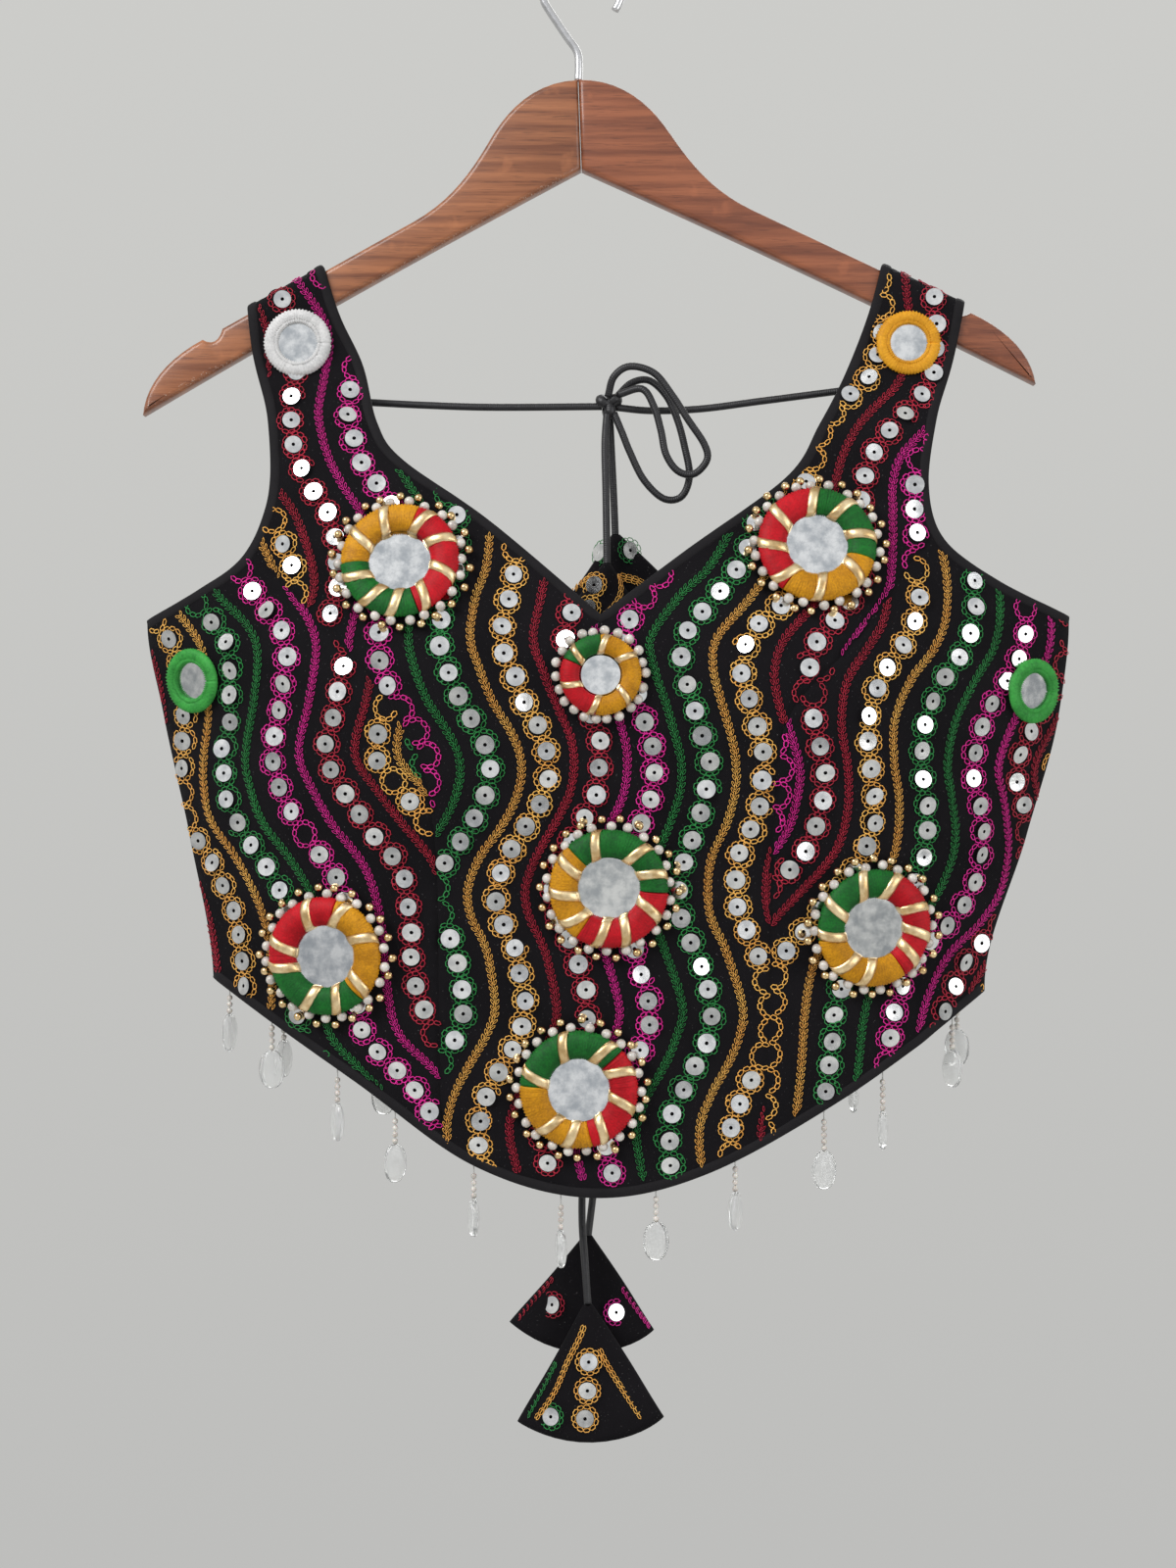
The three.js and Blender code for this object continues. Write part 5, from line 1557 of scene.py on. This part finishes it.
def latkan_links(spec, path, rows):
    """Chain worked along a line on a cone's front, given as (distance, turn in degrees)."""
    made = []
    path = smooth_path(np.array(path, float), 0.8)
    points = np.array([latkan_point(spec, a, math.radians(t), LATKAN_WALL / 2 + 0.5)[0] for a, t in path])
    reach = np.concatenate([[0], np.cumsum(np.linalg.norm(np.diff(points, axis=0), axis=1))])
    for at in np.arange(0, reach[-1] - 1 * MM, BRAID_PITCH * MM):
        here = np.array([np.interp(at, reach, points[:, axis]) for axis in range(3)])
        ahead = np.array([np.interp(at + MM, reach, points[:, axis]) for axis in range(3)])
        along, turn = np.interp(at, reach, path[:, 0]), np.interp(at, reach, path[:, 1])
        out = latkan_point(spec, along, math.radians(turn))[1]
        way = (ahead - here) / max(np.linalg.norm(ahead - here), 1e-9)
        across = np.cross(out, way)
        for row in range(rows):
            shift = (row - (rows - 1) / 2) * BRAID_APART * MM
            made.append(np.concatenate([here + across * shift, way, out, (0.95, 0.75, 1)]))
    return made


def latkan_ring(spec, along, turn):
    """A ring of chain with its sequin on a cone's front."""
    middle, out = latkan_point(spec, along, math.radians(turn), LATKAN_WALL / 2 + 0.6)
    side = np.cross(out, (0, 0, 1))
    side /= np.linalg.norm(side)
    up = np.cross(side, out)
    ring = []
    for link in range(RING_LINKS):
        about = link / RING_LINKS * 2 * math.pi
        spot = middle + (side * math.cos(about) + up * math.sin(about)) * RING_RADIUS * MM
        way = -side * math.sin(about) + up * math.cos(about)
        ring.append(np.concatenate([spot, way, out, np.ones(3)]))
    lean = out + dice.normal(0, 0.12, 3)
    return ring, np.concatenate([middle + out * 0.8 * MM, side, lean / np.linalg.norm(lean), np.ones(3)])


upper_back, upper_front = LATKANS["latkan_upper_back"], LATKANS["latkan_upper_front"]
lower_back, lower_front = LATKANS["latkan_lower_back"], LATKANS["latkan_lower_front"]
# Lines of chain, as distances from the tip and turns in degrees, and how many chains wide.
LATKAN_LINES = [
    (YELLOW, upper_front, [(10, 344), (18, 312), (29, 264)], 2),
    (YELLOW, upper_front, [(34, 250), (44, 232), (54, 214)], 2),
    (YELLOW, upper_back, [(37, 186), (29, 208), (24, 236)], 3),
    (YELLOW, upper_back, [(24, 274), (27, 292), (35, 312)], 3),
    (YELLOW, lower_front, [(14, 250), (30, 232), (48, 226), (66, 214)], 2),
    (GREEN, lower_front, [(36, 206), (52, 204), (66, 202)], 2),
    (YELLOW, lower_front, [(26, 292), (44, 306), (64, 316)], 2),
    (RED, lower_back, [(30, 206), (44, 200), (57, 198)], 2),
    (PINK, lower_back, [(34, 334), (46, 338), (57, 342)], 2),
]
LATKAN_RINGS_AT = [
    (GREEN, upper_back, 13, 202), (GREEN, upper_back, 12, 312), (YELLOW, upper_front, 14, 232),
    (YELLOW, upper_front, 26, 240), (YELLOW, lower_front, 30, 268), (YELLOW, lower_front, 44, 266),
    (YELLOW, lower_front, 58, 264), (GREEN, lower_front, 60, 232), (RED, lower_back, 40, 232),
    (PINK, lower_back, 42, 306),
]
latkan_threads, latkan_sequins = {}, []
for colour, spec, path, rows in LATKAN_LINES:
    latkan_threads.setdefault(colour, []).extend(latkan_links(spec, path, rows))
for colour, spec, along_it, turn in LATKAN_RINGS_AT:
    ring, foil_place = latkan_ring(spec, along_it, turn)
    latkan_threads.setdefault(colour, []).extend(ring)
    latkan_sequins.append(foil_place)
for name, spec in LATKANS.items():
    piece = add_piece(name, latkan_mesh(name, spec), black_twill, "cloth", [name])
for colour, places in latkan_threads.items():
    mesh = set_shapes(f"latkan_embroidery_{colour}", link_shape, places, THREADS[colour])
    add_piece(mesh.name, mesh, None, "thread_" + colour)
add_piece("latkan_sequins", set_shapes("latkan_sequins", sequin, latkan_sequins, foil), None, "sequin")


# ---------------------------------------------------------------------------


# ---------------------------------------------------------------------------
# The studio: a pale floor well below, even light from a large window on the upper
# left, and a camera straight in front.

FLOOR_LEVEL, FLOOR_REACH, FLOOR_BACK = -1.25, 6, 1.1
floor = bpy.data.meshes.new("floor")
floor.from_pydata([(-FLOOR_REACH, -FLOOR_REACH, FLOOR_LEVEL), (FLOOR_REACH, -FLOOR_REACH, FLOOR_LEVEL),
                   (FLOOR_REACH, FLOOR_BACK, FLOOR_LEVEL), (-FLOOR_REACH, FLOOR_BACK, FLOOR_LEVEL)],
                  [], [(0, 1, 2, 3)])
floor_piece = bpy.data.objects.new("floor", floor)
bpy.context.scene.collection.objects.link(floor_piece)
pale = Finish("pale floor")
mottled = pale.noise(pale.object, 3).tint((0.58, 0.58, 0.57), (0.64, 0.64, 0.63))
floor.materials.append(pale.set(Base_Color=mottled))


def soft_light(name, place, aim, size, power):
    lamp = bpy.data.lights.new(name, "AREA")
    lamp.shape = "RECTANGLE"
    lamp.size, lamp.size_y = size
    lamp.energy = power
    holder = bpy.data.objects.new(name, lamp)
    bpy.context.scene.collection.objects.link(holder)
    holder.location = place
    holder.rotation_euler = (Vector(aim) - Vector(place)).to_track_quat("-Z", "Y").to_euler()


soft_light("window", (-1.3, -1.35, 0.95), (0, 0, -0.35), (1.3, 1.1), 33)
soft_light("fill", (1.5, -1.1, -0.2), (0, 0, -0.4), (1.2, 1.2), 9)
soft_light("back", (0.4, 1.6, 0.6), (0, 0, -0.4), (1.4, 1.0), 10)

bpy.context.scene.view_settings.view_transform = "Standard"
world = bpy.data.worlds.new("studio")
bpy.context.scene.world = world
world.use_nodes = True
sky = Value(world.node_tree.nodes, None)
facing = sky.out(sky.node("TexCoord"), "Generated")
split = sky.node("SeparateXYZ", None, Vector=facing)
_, depth, height = [Value(sky.nodes, split.outputs[axis]) for axis in range(3)]
walls = height.step(-0.5, 0.5).tint((0.5, 0.5, 0.49), (0.62, 0.62, 0.6))
dim_room = height.step(-0.28, 0.1).tint((0.03, 0.03, 0.035), (0.74, 0.75, 0.76))
behind = depth.step(-0.5, -0.15)
backdrop = world.node_tree.nodes["Background"]
world.node_tree.links.new(behind.tint(dim_room, walls).socket, backdrop.inputs["Color"])
backdrop.inputs["Strength"].default_value = 1.0

LENS, SENSOR = 60, 36
FRAME_TALL = 0.7696
AIM = (0.003, -0.02, -0.415)
camera = bpy.data.cameras.new("camera")
camera.lens, camera.sensor_width = LENS, SENSOR
camera_holder = bpy.data.objects.new("camera", camera)
bpy.context.scene.collection.objects.link(camera_holder)
camera_holder.location = (AIM[0], AIM[1] - FRAME_TALL * LENS / SENSOR, AIM[2])
camera_holder.rotation_euler = (math.pi / 2, 0, 0)
bpy.context.scene.camera = camera_holder
